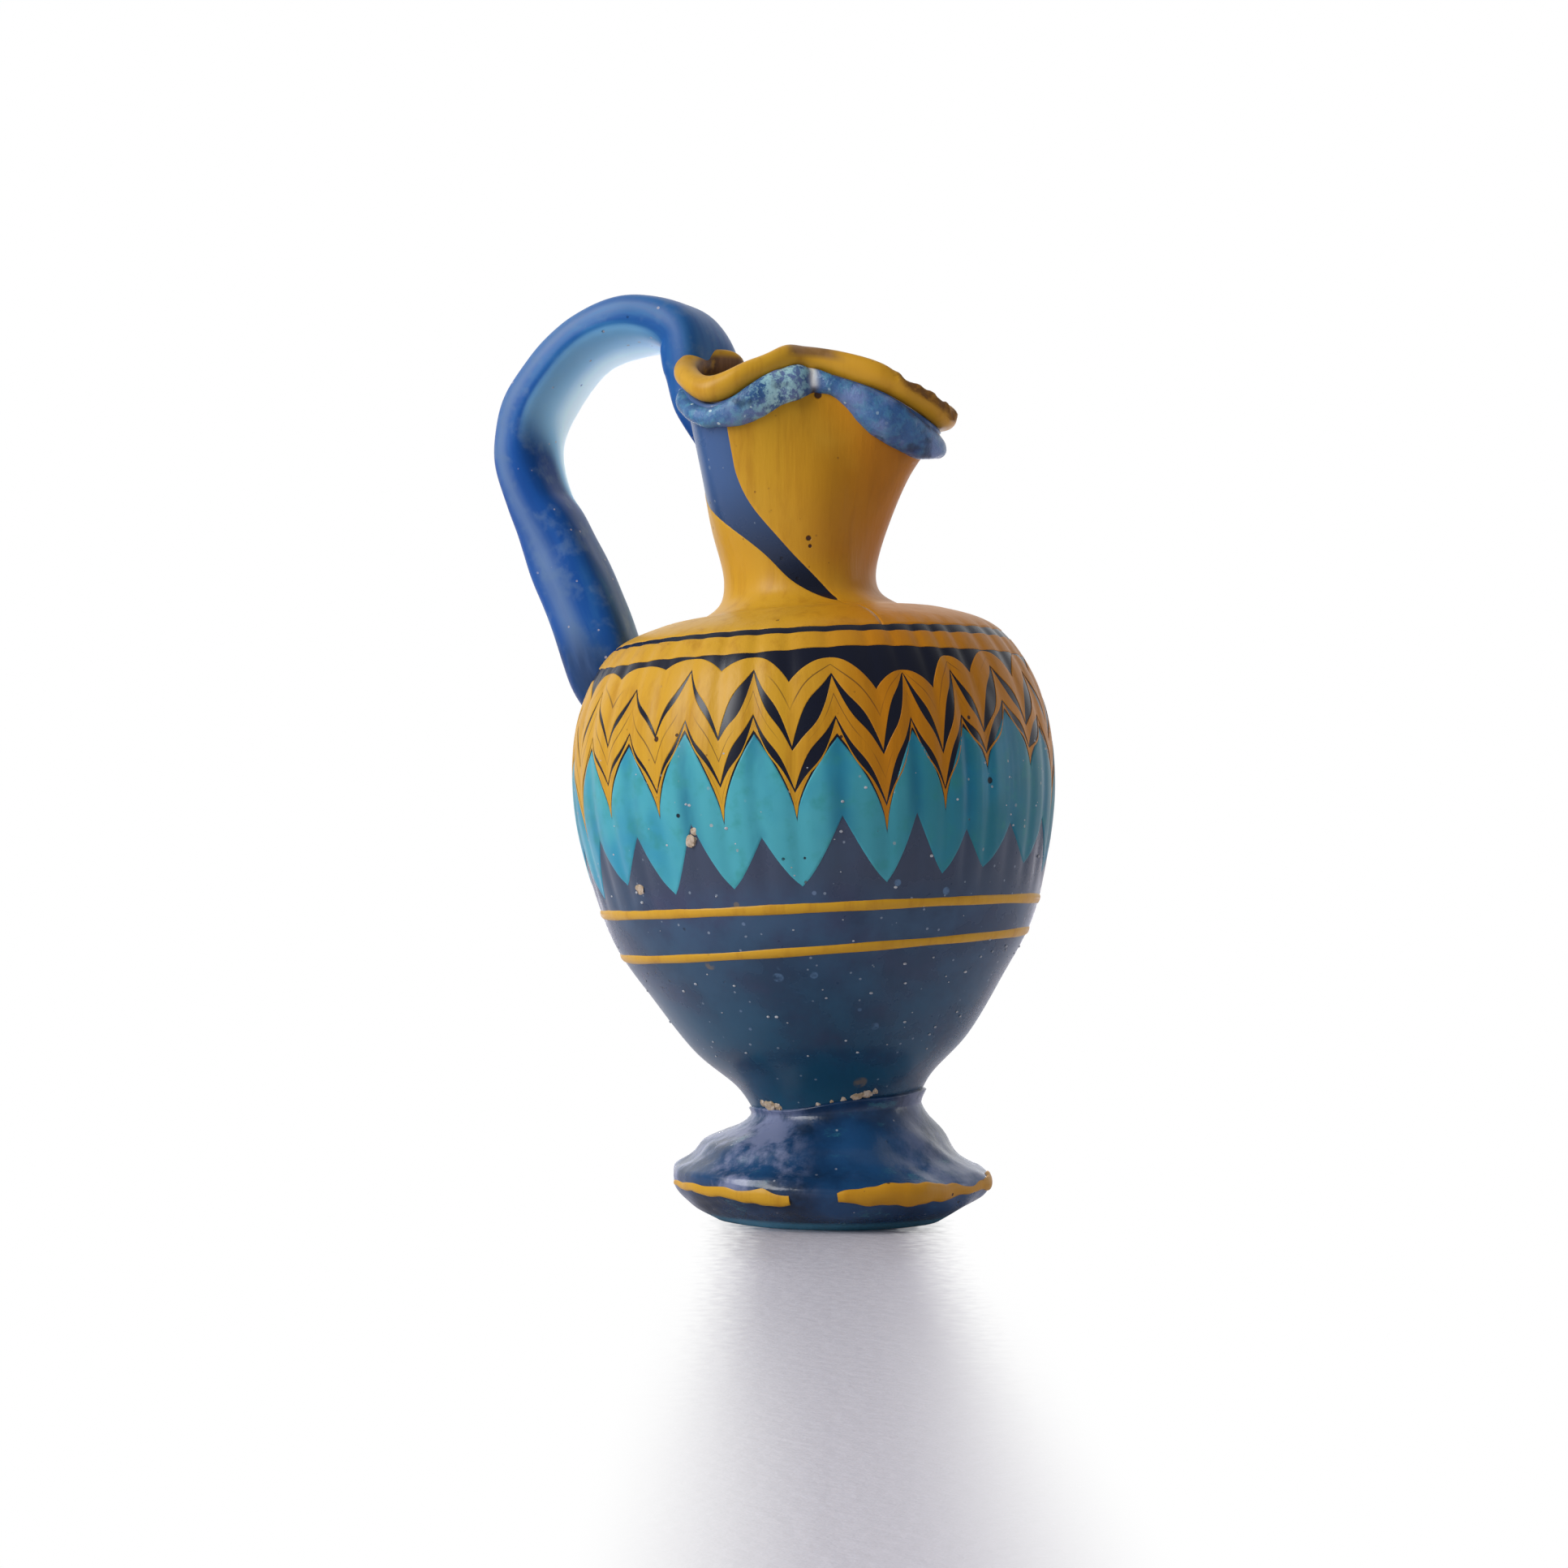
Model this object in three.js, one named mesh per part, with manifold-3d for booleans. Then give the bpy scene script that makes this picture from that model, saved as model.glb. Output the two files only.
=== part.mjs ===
// A small core-formed glass jug of the ancient Mediterranean: a trefoil-mouthed oinochoe.
// Millimetres, +Z up. The origin is the centre of the foot's flat underside.
// A point of the jug is given by its angle around the axis, 0 towards the viewer and
// growing to the right, and by its height above the joint between the body and the foot.

import * as THREE from "three";
import Module from "manifold-3d";
import { mergeVertices } from "three/addons/utils/BufferGeometryUtils.js";

const wasm = await Module();
wasm.setup();

const DEGREE = Math.PI / 180;
const TURN = 2 * Math.PI;

// The foot, and how the body leans over it towards the handle.
const FOOT_JOINT = new THREE.Vector3(0.5, 0, 12.8);
const LEAN = 3.86 * DEGREE;
const FOOT_PROFILE = [
  [0, 0], [13.6, 0], [17.3, 2.2], [19, 4.5], [18, 5.9], [15, 7.6], [12.9, 10.4], [11.4, 12.6],
  [9, 13.5], [0, 13.5],
];
const FOOT_COLUMNS = 36;

// The outer surface of the body, as radius and height, up to the narrowest part of the neck.
const BODY_PROFILE = [
  [9.9, 0.2], [11.8, 3.4], [16.4, 7.8], [20.8, 14.2], [25.2, 21.5], [28, 31], [29, 38.5], [28.4, 46],
  [26.2, 52], [22.8, 56.3], [17.5, 58.5], [11.4, 59.8], [9.3, 63.6],
];
const WALL = 3.2;
const FLOOR_HEIGHT = 4.5;
const NECK_ROWS = 9;

// The mouth: three lobes, of which the one away from the handle is the spout.
// Angles in degrees all around, with the rim's radius and height and the size of the coil under it.
const RIM = [
  { angle: -128, radius: 9, height: 89.2, coilHeight: 3, coilThickness: 2.6 },
  { angle: -104, radius: 7.6, height: 90.3, coilHeight: 3, coilThickness: 2.6 },
  { angle: -84, radius: 11.6, height: 89.4, coilHeight: 2.6, coilThickness: 2.6 },
  { angle: -64, radius: 14, height: 86.6, coilHeight: 2.4, coilThickness: 2.6 },
  { angle: -42, radius: 14.4, height: 84.3, coilHeight: 2.4, coilThickness: 2.7 },
  { angle: -18, radius: 12, height: 85.9, coilHeight: 3.3, coilThickness: 2.7 },
  { angle: 0, radius: 9.8, height: 87.8, coilHeight: 2.9, coilThickness: 2.7 },
  { angle: 16, radius: 8.8, height: 88.2, coilHeight: 2.4, coilThickness: 2.7 },
  { angle: 32, radius: 10.4, height: 88, coilHeight: 2.6, coilThickness: 2.8 },
  { angle: 50, radius: 15, height: 85.6, coilHeight: 5.6, coilThickness: 3.8 },
  { angle: 64, radius: 18.2, height: 82.5, coilHeight: 4, coilThickness: 4 },
  { angle: 76, radius: 19.4, height: 80.6, coilHeight: 2.8, coilThickness: 3.4 },
  { angle: 90, radius: 18.4, height: 81, coilHeight: 2.8, coilThickness: 3.2 },
  { angle: 112, radius: 12.6, height: 85, coilHeight: 3.2, coilThickness: 2.8 },
  { angle: 136, radius: 9.2, height: 88.4, coilHeight: 3.4, coilThickness: 2.7 },
  { angle: 166, radius: 13.6, height: 86, coilHeight: 3.4, coilThickness: 2.7 },
  { angle: 196, radius: 15.2, height: 85.4, coilHeight: 3.2, coilThickness: 2.7 },
  { angle: 214, radius: 12.6, height: 87.4, coilHeight: 3, coilThickness: 2.6 },
];
const SPOUT_ANGLE = 76 * DEGREE;
const FUNNEL_HEIGHT = 74;
const FUNNEL_SPREAD = 0.36;
const MOUTH_MIDDLE = 90;
const LIP_THICKNESS = 3.4;
const LIP_DEPTH = 0.9;
const COIL_TOP = 2.05;
const RIM_SIDES = 8;

// Trails are pressed into the wall, with a small gap to the glass around them.
const INLAY_DEPTH = 1.2;
const GAP = 0.3;
const RECESS_DEPTH = INLAY_DEPTH + 2 * GAP;
const TRAIL_SPACING = 1.3;

// The comb was dragged down at these angles and up half-way between them.
const SEEN_STROKES = [-55.4, -38.5, -21.8, -5, 15.3, 29.9, 42.5, 60].map((angle) => angle * DEGREE);
const HIDDEN_STROKES = 14;

// Heights of the feather bands' edges, at the down strokes and at the up strokes.
const FEATHER_TOP = { down: 51.3, up: 54.3 };
const FIRST_LINE = { down: 42.6, up: 50.4 };
const SECOND_LINE = { down: 36.8, up: 45 };
const YELLOW_BOTTOM = { down: 33.6, up: 42.4 };
const TURQUOISE_BOTTOM = { down: 26.9, up: 32.6 };

const SHOULDER_RING = { low: 55.1, high: 56.5 };
const NECK_WRAP_LOW = 57.2;

// The bare glass between two turns of the neck wrap: its middle, half its width and its tip, in degrees.
const NECK_SLIT = [
  { height: 84, angle: -66, half: 30 },
  { height: 78, angle: -64, half: 28 },
  { height: 74.4, angle: -60, half: 25 },
  { height: 70.7, angle: -42.5, half: 14.5 },
  { height: 66.2, angle: -18.6, half: 9 },
  { height: 62.9, angle: -0.5, half: 8.5 },
  { height: 61.3, angle: 9.8, half: 7 },
  { height: 60, angle: 20, half: 4.5 },
];
const NECK_SLIT_STEPS = 21;
const NECK_SLIT_MARGIN = 3.5;
const NECK_SLIT_REACH = 4;

// The thread on the lower belly: its height at each turn, falling in two turns.
const THREAD_HEIGHTS = [[-0.42, 25.2], [-0.25, 24.9], [0.25, 23.2], [0.75, 19.6], [1.25, 19.6], [1.55, 19.2]];
const THREAD_WIDTH = 1.2;
const THREAD_RISE = 0.35;
const THREAD_STEPS = 64;

// The handle, as reach from the axis, height, width and thickness, from the rim to the shoulder.
// The strap is twisted along its length by the last number, in degrees.
const HANDLE_ANGLE = -106 * DEGREE;
const HANDLE_ROUTE = [
  { reach: 9.8, height: 81, width: 6, thickness: 3, twist: -18 },
  { reach: 10.7, height: 85.5, width: 10, thickness: 4.6, twist: -18 },
  { reach: 10.6, height: 90, width: 12, thickness: 6.4, twist: -17 },
  { reach: 12.2, height: 94.6, width: 12, thickness: 6.4, twist: -6 },
  { reach: 17.9, height: 96.1, width: 11.4, thickness: 6, twist: 10 },
  { reach: 24.2, height: 94.7, width: 11, thickness: 5.8, twist: 14 },
  { reach: 29.2, height: 90.7, width: 11, thickness: 5.8, twist: 14 },
  { reach: 32.4, height: 86.1, width: 11, thickness: 6, twist: 13 },
  { reach: 33.4, height: 81.5, width: 10.6, thickness: 6.1, twist: 12 },
  { reach: 32.4, height: 76.1, width: 10, thickness: 6.4, twist: 8 },
  { reach: 30.7, height: 71.9, width: 10, thickness: 7.8, twist: 5 },
  { reach: 28.4, height: 65.5, width: 10, thickness: 8.8, twist: 2 },
  { reach: 26.3, height: 59.2, width: 10, thickness: 9.4, twist: 0 },
  { reach: 24.8, height: 54, width: 10, thickness: 9.2, twist: 0 },
  { reach: 23.2, height: 50, width: 8, thickness: 8, twist: 0 },
];
const HANDLE_STEPS = 32;
const HANDLE_SIDES = 12;
const HANDLE_SQUARENESS = 0.6;

// Yellow trail on the edge of the foot, in broken stretches.
const FOOT_TRAIL_RADIUS = 18.7;
const FOOT_TRAIL_THICKNESS = 1.7;
const FOOT_TRAILS = [
  { from: -70, to: -14, low: 4, high: 3.5 },
  { from: 1, to: 88, low: 4.6, high: 4.3 },
  { from: 112, to: 262, low: 4.2, high: 4 },
];

const COBALT = { color: "#22375f", roughness: 0.22, metalness: 0 };
const BRIGHT_BLUE = { color: "#2d5c9c", roughness: 0.2, metalness: 0 };
const YELLOW = { color: "#c89a2a", roughness: 0.35, metalness: 0 };
const TURQUOISE = { color: "#3f8fa3", roughness: 0.3, metalness: 0 };

// All the columns around the jug: one at each stroke of the comb, down and up in turn.
function columnAngles() {
  const first = SEEN_STROKES[0];
  const last = SEEN_STROKES[SEEN_STROKES.length - 1];
  const step = (first + TURN - last) / (HIDDEN_STROKES + 1);
  const hidden = Array.from({ length: HIDDEN_STROKES }, (_, i) => last + step * (i + 1));
  const down = [...SEEN_STROKES, ...hidden];
  return down.flatMap((angle, i) => [angle, (angle + (down[i + 1] ?? first + TURN)) / 2]);
}

const COLUMNS = columnAngles();

function around(angle, radius, height) {
  return new THREE.Vector3(radius * Math.sin(angle), -radius * Math.cos(angle), height);
}

// How far a direction lies in a lobe of the mouth: 0 at a pinch and 1 at the middle of a lobe.
function lobeAt(angle) {
  return 0.5 + 0.5 * Math.cos(3 * (angle - SPOUT_ANGLE));
}

// A stop of the rim, counted on past the last one into the next turn and back before the first.
function rimStop(i) {
  const lap = Math.floor(i / RIM.length);
  const stop = RIM[i - lap * RIM.length];
  return { ...stop, angle: stop.angle + 360 * lap };
}

// The rim at one angle, on a smooth curve through its stops.
function rimAt(angle) {
  const turned = THREE.MathUtils.euclideanModulo(angle / DEGREE - RIM[0].angle, 360) + RIM[0].angle;
  const i = RIM.findLastIndex((stop) => stop.angle <= turned);
  const [before, low, high, after] = [i - 1, i, i + 1, i + 2].map(rimStop);
  const step = high.angle - low.angle;
  const t = (turned - low.angle) / step;
  const through = (size) => {
    const leaving = ((high[size] - before[size]) / (high.angle - before.angle)) * step;
    const arriving = ((after[size] - low[size]) / (after.angle - low.angle)) * step;
    const ends = low[size] * (2 * t ** 3 - 3 * t ** 2 + 1) + high[size] * (3 * t ** 2 - 2 * t ** 3);
    return ends + leaving * (t ** 3 - 2 * t ** 2 + t) + arriving * (t ** 3 - t ** 2);
  };
  return {
    radius: through("radius"),
    height: through("height"),
    coilHeight: through("coilHeight"),
    coilThickness: through("coilThickness"),
  };
}

// The outline of the body at one angle, from the foot joint to the rim.
function outlineAt(angle) {
  const rim = rimAt(angle);
  const neck = BODY_PROFILE[BODY_PROFILE.length - 1][0];
  const funnelRadius = THREE.MathUtils.lerp(neck + 1.4, rim.radius, FUNNEL_SPREAD * lobeAt(angle));
  const points = BODY_PROFILE.map(([radius, height]) => new THREE.Vector2(radius, height));
  points.push(new THREE.Vector2(funnelRadius, FUNNEL_HEIGHT));
  points.push(new THREE.Vector2(rim.radius, rim.height));
  return new THREE.SplineCurve(points);
}

const OUTLINES = new Map();

function outline(angle) {
  if (!OUTLINES.has(angle)) OUTLINES.set(angle, outlineAt(angle));
  return OUTLINES.get(angle);
}

// The place on the outline at a height, by halving.
function placeAtHeight(angle, height) {
  let low = 0;
  let high = 1;
  for (let i = 0; i < 30; i++) {
    const middle = (low + high) / 2;
    if (outline(angle).getPoint(middle).y < height) low = middle;
    else high = middle;
  }
  return low;
}

// The place on the outline a distance below the rim, measured along the wall.
function placeBelowRim(angle, distance) {
  const curve = outline(angle);
  return curve.getUtoTmapping(0, curve.getLength() - distance);
}

// A point of the wall, a distance under the outer surface along its normal.
function wallPoint(angle, place, depth) {
  const point = outline(angle).getPoint(place);
  const tangent = outline(angle).getTangent(THREE.MathUtils.clamp(place, 0.001, 0.999));
  return around(angle, point.x - depth * tangent.y, point.y + depth * tangent.x);
}

function range(from, to, steps) {
  return Array.from({ length: steps + 1 }, (_, i) => from + ((to - from) * i) / steps);
}

// Solids

function solidFrom(vertices, faces) {
  const positions = new Float32Array(vertices.flatMap((point) => [point.x, point.y, point.z]));
  const mesh = new wasm.Mesh({ numProp: 3, vertProperties: positions, triVerts: new Uint32Array(faces) });
  return new wasm.Manifold(mesh);
}

function solidFromGeometry(geometry) {
  const bare = geometry.index ? geometry.toNonIndexed() : geometry.clone();
  bare.deleteAttribute("normal");
  bare.deleteAttribute("uv");
  const merged = mergeVertices(bare, 1e-4);
  return new wasm.Manifold(
    new wasm.Mesh({
      numProp: 3,
      vertProperties: merged.attributes.position.array,
      triVerts: new Uint32Array(merged.index.array),
    }),
  );
}

// Joins two neighbouring loops of points with two triangles at each step.
function stripFaces(first, second, count, closed) {
  const faces = [];
  for (let i = 0; i < (closed ? count : count - 1); i++) {
    const next = (i + 1) % count;
    faces.push(first + i, first + next, second + next, first + i, second + next, second + i);
  }
  return faces;
}

// A ring-shaped solid: loops of points around the jug, the last joined to the first.
function ringSolid(loops) {
  const count = loops[0].length;
  const faces = loops.flatMap((_, i) => stripFaces(i * count, ((i + 1) % loops.length) * count, count, true));
  return solidFrom(loops.flat(), faces);
}

// A solid made of closed loops stacked between two end points.
function cappedSolid(start, loops, end) {
  const count = loops[0].length;
  const last = (loops.length - 1) * count;
  const startIndex = loops.length * count;
  const faces = loops.slice(1).flatMap((_, i) => stripFaces(i * count, (i + 1) * count, count, true));
  for (let i = 0; i < count; i++) {
    const next = (i + 1) % count;
    faces.push(startIndex, next, i);
    faces.push(startIndex + 1, last + i, last + next);
  }
  return solidFrom([...loops.flat(), start, end], faces);
}

// The outer surface as loops between two edges, at a depth under it.
function wallLoops(lowEdge, highEdge, rows, depth) {
  const placeAt = (angle, i, share) => THREE.MathUtils.lerp(lowEdge(angle, i), highEdge(angle, i), share);
  return range(0, 1, rows).map((share) =>
    COLUMNS.map((angle, i) => wallPoint(angle, placeAt(angle, i, share), depth)),
  );
}

function combedEdge(edge, shift) {
  return (angle, i) => placeAtHeight(angle, (i % 2 ? edge.up : edge.down) + shift);
}

function levelEdge(height) {
  return (angle) => placeAtHeight(angle, height);
}

function rimEdge(distance) {
  return (angle) => placeBelowRim(angle, distance);
}

// A band laid in the wall between two edges.
function bandSolid(lowEdge, highEdge, rows, outerDepth, innerDepth) {
  const inner = wallLoops(lowEdge, highEdge, rows, innerDepth).reverse();
  return ringSolid([...wallLoops(lowEdge, highEdge, rows, outerDepth), ...inner]);
}

function featherTrail(top, bottom, rows, topShift, bottomShift) {
  return bandSolid(combedEdge(bottom, bottomShift), combedEdge(top, topShift), rows, 0, INLAY_DEPTH);
}

// The cobalt body, with recesses for the trails and hollow down to a thick floor.
function bodyShell() {
  const bottom = () => 0;
  const featherLow = combedEdge(TURQUOISE_BOTTOM, -3 * GAP);
  const featherHigh = combedEdge(FEATHER_TOP, 3 * GAP);
  const ringLow = levelEdge(SHOULDER_RING.low - GAP);
  const ringHigh = levelEdge(SHOULDER_RING.high + GAP);
  const wallTop = rimEdge(LIP_THICKNESS / 2 + GAP);
  const outer = [
    ...wallLoops(bottom, featherLow, 6, 0),
    ...wallLoops(featherLow, featherHigh, 6, RECESS_DEPTH),
    ...wallLoops(featherHigh, ringLow, 1, 0),
    ...wallLoops(ringLow, ringHigh, 1, RECESS_DEPTH),
    ...wallLoops(ringHigh, levelEdge(NECK_WRAP_LOW - GAP), 1, 0),
    ...wallLoops(levelEdge(NECK_WRAP_LOW - GAP), wallTop, NECK_ROWS, RECESS_DEPTH),
  ];
  const inner = wallLoops(levelEdge(FLOOR_HEIGHT + 2), wallTop, 10, WALL).reverse();
  return cappedSolid(
    new THREE.Vector3(0, 0, outer[0][0].z),
    [...outer, ...inner],
    new THREE.Vector3(0, 0, FLOOR_HEIGHT),
  );
}

// The body as a filled shape, made larger all round by a margin.
function bodyEnvelope(margin) {
  const loops = wallLoops(() => 0, () => 1, 18, -margin);
  return cappedSolid(
    new THREE.Vector3(0, 0, loops[0][0].z),
    loops,
    new THREE.Vector3(0, 0, MOUTH_MIDDLE),
  );
}

// A coil along the rim, of an oval section whose long way follows the wall.
function rimTube(sizeAt, margin) {
  const sectionAt = (angle) => {
    const { drop, depth, tall, thick } = sizeAt(angle);
    const place = placeBelowRim(angle, drop);
    const centre = wallPoint(angle, place, depth);
    const outward = wallPoint(angle, place, depth - 1).sub(centre);
    const along = outward.clone().cross(around(angle + Math.PI / 2, 1, 0));
    return range(0, TURN, RIM_SIDES).slice(0, -1).map((turn) =>
      centre
        .clone()
        .addScaledVector(outward, (thick / 2 + margin) * Math.cos(turn))
        .addScaledVector(along, (tall / 2 + margin) * Math.sin(turn)),
    );
  };
  const sections = COLUMNS.map(sectionAt);
  return ringSolid(sections[0].map((_, side) => sections.map((section) => section[side])));
}

function lipTube(margin) {
  return rimTube(() => ({ drop: 0, depth: LIP_DEPTH, tall: LIP_THICKNESS, thick: LIP_THICKNESS }), margin);
}

function coilTube(margin) {
  const sizeAt = (angle) => {
    const { coilHeight, coilThickness } = rimAt(angle);
    const depth = INLAY_DEPTH - coilThickness / 2;
    return { drop: COIL_TOP + coilHeight / 2, depth, tall: coilHeight, thick: coilThickness };
  };
  return rimTube(sizeAt, margin);
}

// A curve through named sizes, two or three at each stop.
function curveThrough(stops, first, second, third) {
  const points = stops.map((stop) => new THREE.Vector3(stop[first], stop[second], stop[third] ?? 0));
  return new THREE.CatmullRomCurve3(points, false, "catmullrom");
}

// The slit as a solid that stands through the wall, narrowed by a margin in degrees.
function slitSolid(margin) {
  const middle = curveThrough(NECK_SLIT, "angle", "height", "half");
  const sections = range(0, 1, NECK_SLIT_STEPS).map((share) => {
    const at = middle.getPoint(share);
    const side = (sign, depth) => {
      const angle = (at.x + sign * (at.z - margin)) * DEGREE;
      return wallPoint(angle, placeAtHeight(angle, at.y), depth);
    };
    return [side(-1, -NECK_SLIT_REACH), side(1, -NECK_SLIT_REACH), side(1, WALL), side(-1, WALL)];
  });
  return sweptSolid(sections);
}

// The thread on the lower belly, wound in a falling spiral.
function threadSolid(margin) {
  const stops = THREAD_HEIGHTS.map(([turn, height]) => new THREE.Vector3(turn, height, 0));
  const heights = new THREE.CatmullRomCurve3(stops);
  const sections = range(0, 1, THREAD_STEPS).map((share) => {
    const at = heights.getPointAt(share);
    const angle = at.x * TURN;
    const taper = Math.min(1, 0.35 + 8 * Math.min(share, 1 - share));
    const half = (THREAD_WIDTH / 2) * taper + margin;
    const low = placeAtHeight(0, at.y - half);
    const high = placeAtHeight(0, at.y + half);
    const top = -THREAD_RISE * taper - margin * 3;
    const bottom = INLAY_DEPTH * 0.6 + margin;
    const corners = [[low, top], [high, top], [high, bottom], [low, bottom]];
    return corners.map(([place, depth]) => threadPoint(angle, place, depth));
  });
  return sweptSolid(sections);
}

function threadPoint(angle, place, depth) {
  const point = wallPoint(0, place, depth);
  return around(angle, -point.y, point.z);
}

// A solid swept through sections of equal point count, closed flat at both ends.
function sweptSolid(sections) {
  const middle = (section) =>
    section.reduce((sum, point) => sum.add(point), new THREE.Vector3()).divideScalar(section.length);
  const made = cappedSolid(middle(sections[0]), sections, middle(sections[sections.length - 1]));
  if (made.volume() > 0) return made;
  const turned = sections.map((section) => [...section].reverse());
  return cappedSolid(middle(turned[0]), turned, middle(turned[turned.length - 1]));
}

// A number of the same sign, brought nearer to 1 in size, which squares an oval.
function squared(value) {
  return Math.sign(value) * Math.abs(value) ** HANDLE_SQUARENESS;
}

// The strap handle, swept from the rim over its arch to the shoulder.
function handleSolid() {
  const route = curveThrough(HANDLE_ROUTE, "reach", "height");
  const sizes = curveThrough(HANDLE_ROUTE, "width", "thickness", "twist");
  const side = around(HANDLE_ANGLE + Math.PI / 2, 1, 0);
  const sections = range(0, 1, HANDLE_STEPS).map((share) => {
    const centre = route.getPoint(share);
    const tangent = route.getTangent(share);
    const size = sizes.getPoint(share);
    const twist = size.z * DEGREE;
    return range(0, TURN, HANDLE_SIDES).slice(0, -1).map((turn) => {
      const halfWidth = (squared(Math.cos(turn)) * size.x) / 2;
      const halfThickness = (squared(Math.sin(turn)) * size.y) / 2;
      const out = halfThickness * Math.cos(twist) - halfWidth * Math.sin(twist);
      const across = halfWidth * Math.cos(twist) + halfThickness * Math.sin(twist);
      const reach = centre.x + out * tangent.y;
      const height = centre.y - out * tangent.x;
      return around(HANDLE_ANGLE, reach, height).addScaledVector(side, across);
    });
  });
  return sweptSolid(sections);
}

function footSolid() {
  const points = FOOT_PROFILE.map(([radius, height]) => new THREE.Vector2(radius, height));
  const geometry = new THREE.LatheGeometry(points, FOOT_COLUMNS);
  geometry.rotateX(Math.PI / 2);
  return solidFromGeometry(geometry);
}

function footTrailSolid({ from, to, low, high }, margin) {
  const steps = Math.ceil((to - from) / 8);
  const sections = range(0, 1, steps).map((share) => {
    const angle = THREE.MathUtils.lerp(from, to, share) * DEGREE;
    const height = THREE.MathUtils.lerp(low, high, share);
    const radius = (FOOT_TRAIL_THICKNESS / 2) * Math.min(1, 0.45 + 4 * Math.min(share, 1 - share)) + margin;
    return range(0, TURN, 8).slice(0, -1).map((turn) =>
      around(angle, FOOT_TRAIL_RADIUS + radius * Math.cos(turn), height + radius * Math.sin(turn)),
    );
  });
  return sweptSolid(sections);
}

// Pieces of the leaning body

function bodyPieces() {
  const wrapTop = (angle) => placeBelowRim(angle, COIL_TOP + rimAt(angle).coilHeight + GAP);
  const wrap = bandSolid(levelEdge(NECK_WRAP_LOW), wrapTop, NECK_ROWS, 0, INLAY_DEPTH);
  const slitGlass = bandSolid(levelEdge(NECK_WRAP_LOW), wrapTop, NECK_ROWS, 0, RECESS_DEPTH + GAP);
  const { low, high } = SHOULDER_RING;
  const ring = bandSolid(levelEdge(low), levelEdge(high), 1, 0, INLAY_DEPTH);
  const body = bodyShell().add(slitGlass.intersect(slitSolid(NECK_SLIT_MARGIN))).subtract(threadSolid(GAP));
  const handle = handleSolid().subtract(bodyEnvelope(1.5 * GAP)).subtract(coilTube(GAP)).subtract(lipTube(GAP));
  return {
    body: [body, COBALT],
    neck_wrap: [wrap.subtract(slitSolid(0)), YELLOW],
    shoulder_ring: [ring, YELLOW],
    feather_upper_yellow: [featherTrail(FEATHER_TOP, FIRST_LINE, 2, 0, TRAIL_SPACING / 2), YELLOW],
    feather_middle_yellow: [
      featherTrail(FIRST_LINE, SECOND_LINE, 2, -TRAIL_SPACING / 2, TRAIL_SPACING / 2),
      YELLOW,
    ],
    feather_lower_yellow: [featherTrail(SECOND_LINE, YELLOW_BOTTOM, 1, -TRAIL_SPACING / 2, GAP), YELLOW],
    feather_turquoise: [featherTrail(YELLOW_BOTTOM, TURQUOISE_BOTTOM, 2, -GAP, 0), TURQUOISE],
    belly_thread: [threadSolid(0), YELLOW],
    rim_coil: [coilTube(0), BRIGHT_BLUE],
    lip_trail: [lipTube(0), YELLOW],
    handle: [handle, BRIGHT_BLUE],
  };
}

// Pieces of the level foot

function footPieces(leaningBody) {
  const pieces = { foot: [footSolid().subtract(leaningBody), COBALT] };
  FOOT_TRAILS.forEach((trail, i) => {
    pieces.foot[0] = pieces.foot[0].subtract(footTrailSolid(trail, GAP));
    pieces["foot_edge_trail_" + (i + 1)] = [footTrailSolid(trail, 0), YELLOW];
  });
  return pieces;
}

function addPieces(group, pieces) {
  for (const [name, [solid, look]] of Object.entries(pieces)) {
    const made = solid.getMesh();
    const geometry = new THREE.BufferGeometry();
    geometry.setAttribute("position", new THREE.BufferAttribute(new Float32Array(made.vertProperties), 3));
    geometry.setIndex(new THREE.BufferAttribute(new Uint32Array(made.triVerts), 1));
    geometry.computeVertexNormals();
    const mesh = new THREE.Mesh(geometry, new THREE.MeshStandardMaterial(look));
    mesh.name = name;
    group.add(mesh);
  }
}

const jug = new THREE.Group();
const leaning = new THREE.Group();
leaning.position.copy(FOOT_JOINT);
leaning.rotation.y = -LEAN;
leaning.updateMatrix();
jug.add(leaning);
addPieces(leaning, bodyPieces());
addPieces(jug, footPieces(bodyEnvelope(GAP).transform(leaning.matrix.toArray())));

export default jug;
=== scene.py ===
import math

import bmesh
import bpy
import numpy as np
from bpy.props import FloatProperty, FloatVectorProperty, IntProperty, PointerProperty
from mathutils import Matrix, Vector, noise


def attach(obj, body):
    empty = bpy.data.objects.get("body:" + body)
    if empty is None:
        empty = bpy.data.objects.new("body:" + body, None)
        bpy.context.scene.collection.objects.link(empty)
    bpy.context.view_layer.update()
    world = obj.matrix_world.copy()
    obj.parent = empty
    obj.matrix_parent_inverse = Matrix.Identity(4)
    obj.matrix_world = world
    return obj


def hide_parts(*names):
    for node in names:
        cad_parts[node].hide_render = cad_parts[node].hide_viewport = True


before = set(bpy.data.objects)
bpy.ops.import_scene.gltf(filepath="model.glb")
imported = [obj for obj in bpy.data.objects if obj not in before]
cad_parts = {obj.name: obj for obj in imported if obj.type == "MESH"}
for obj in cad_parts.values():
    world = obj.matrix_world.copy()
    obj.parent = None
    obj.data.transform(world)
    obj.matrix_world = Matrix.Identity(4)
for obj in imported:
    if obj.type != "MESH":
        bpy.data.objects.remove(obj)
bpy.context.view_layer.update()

bl_info = {
    "name": "Core-formed glass jug",
    "version": (1, 0, 0),
    "blender": (4, 5, 0),
    "location": "3D View > Sidebar > Jug",
    "description": "Builds a trefoil-mouthed jug of combed glass on its foot",
    "category": "Add Mesh",
}

# Lengths of the shape are in millimetres and become metres as a mesh is made.
MM = 0.001
TURN = 2 * math.pi

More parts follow.
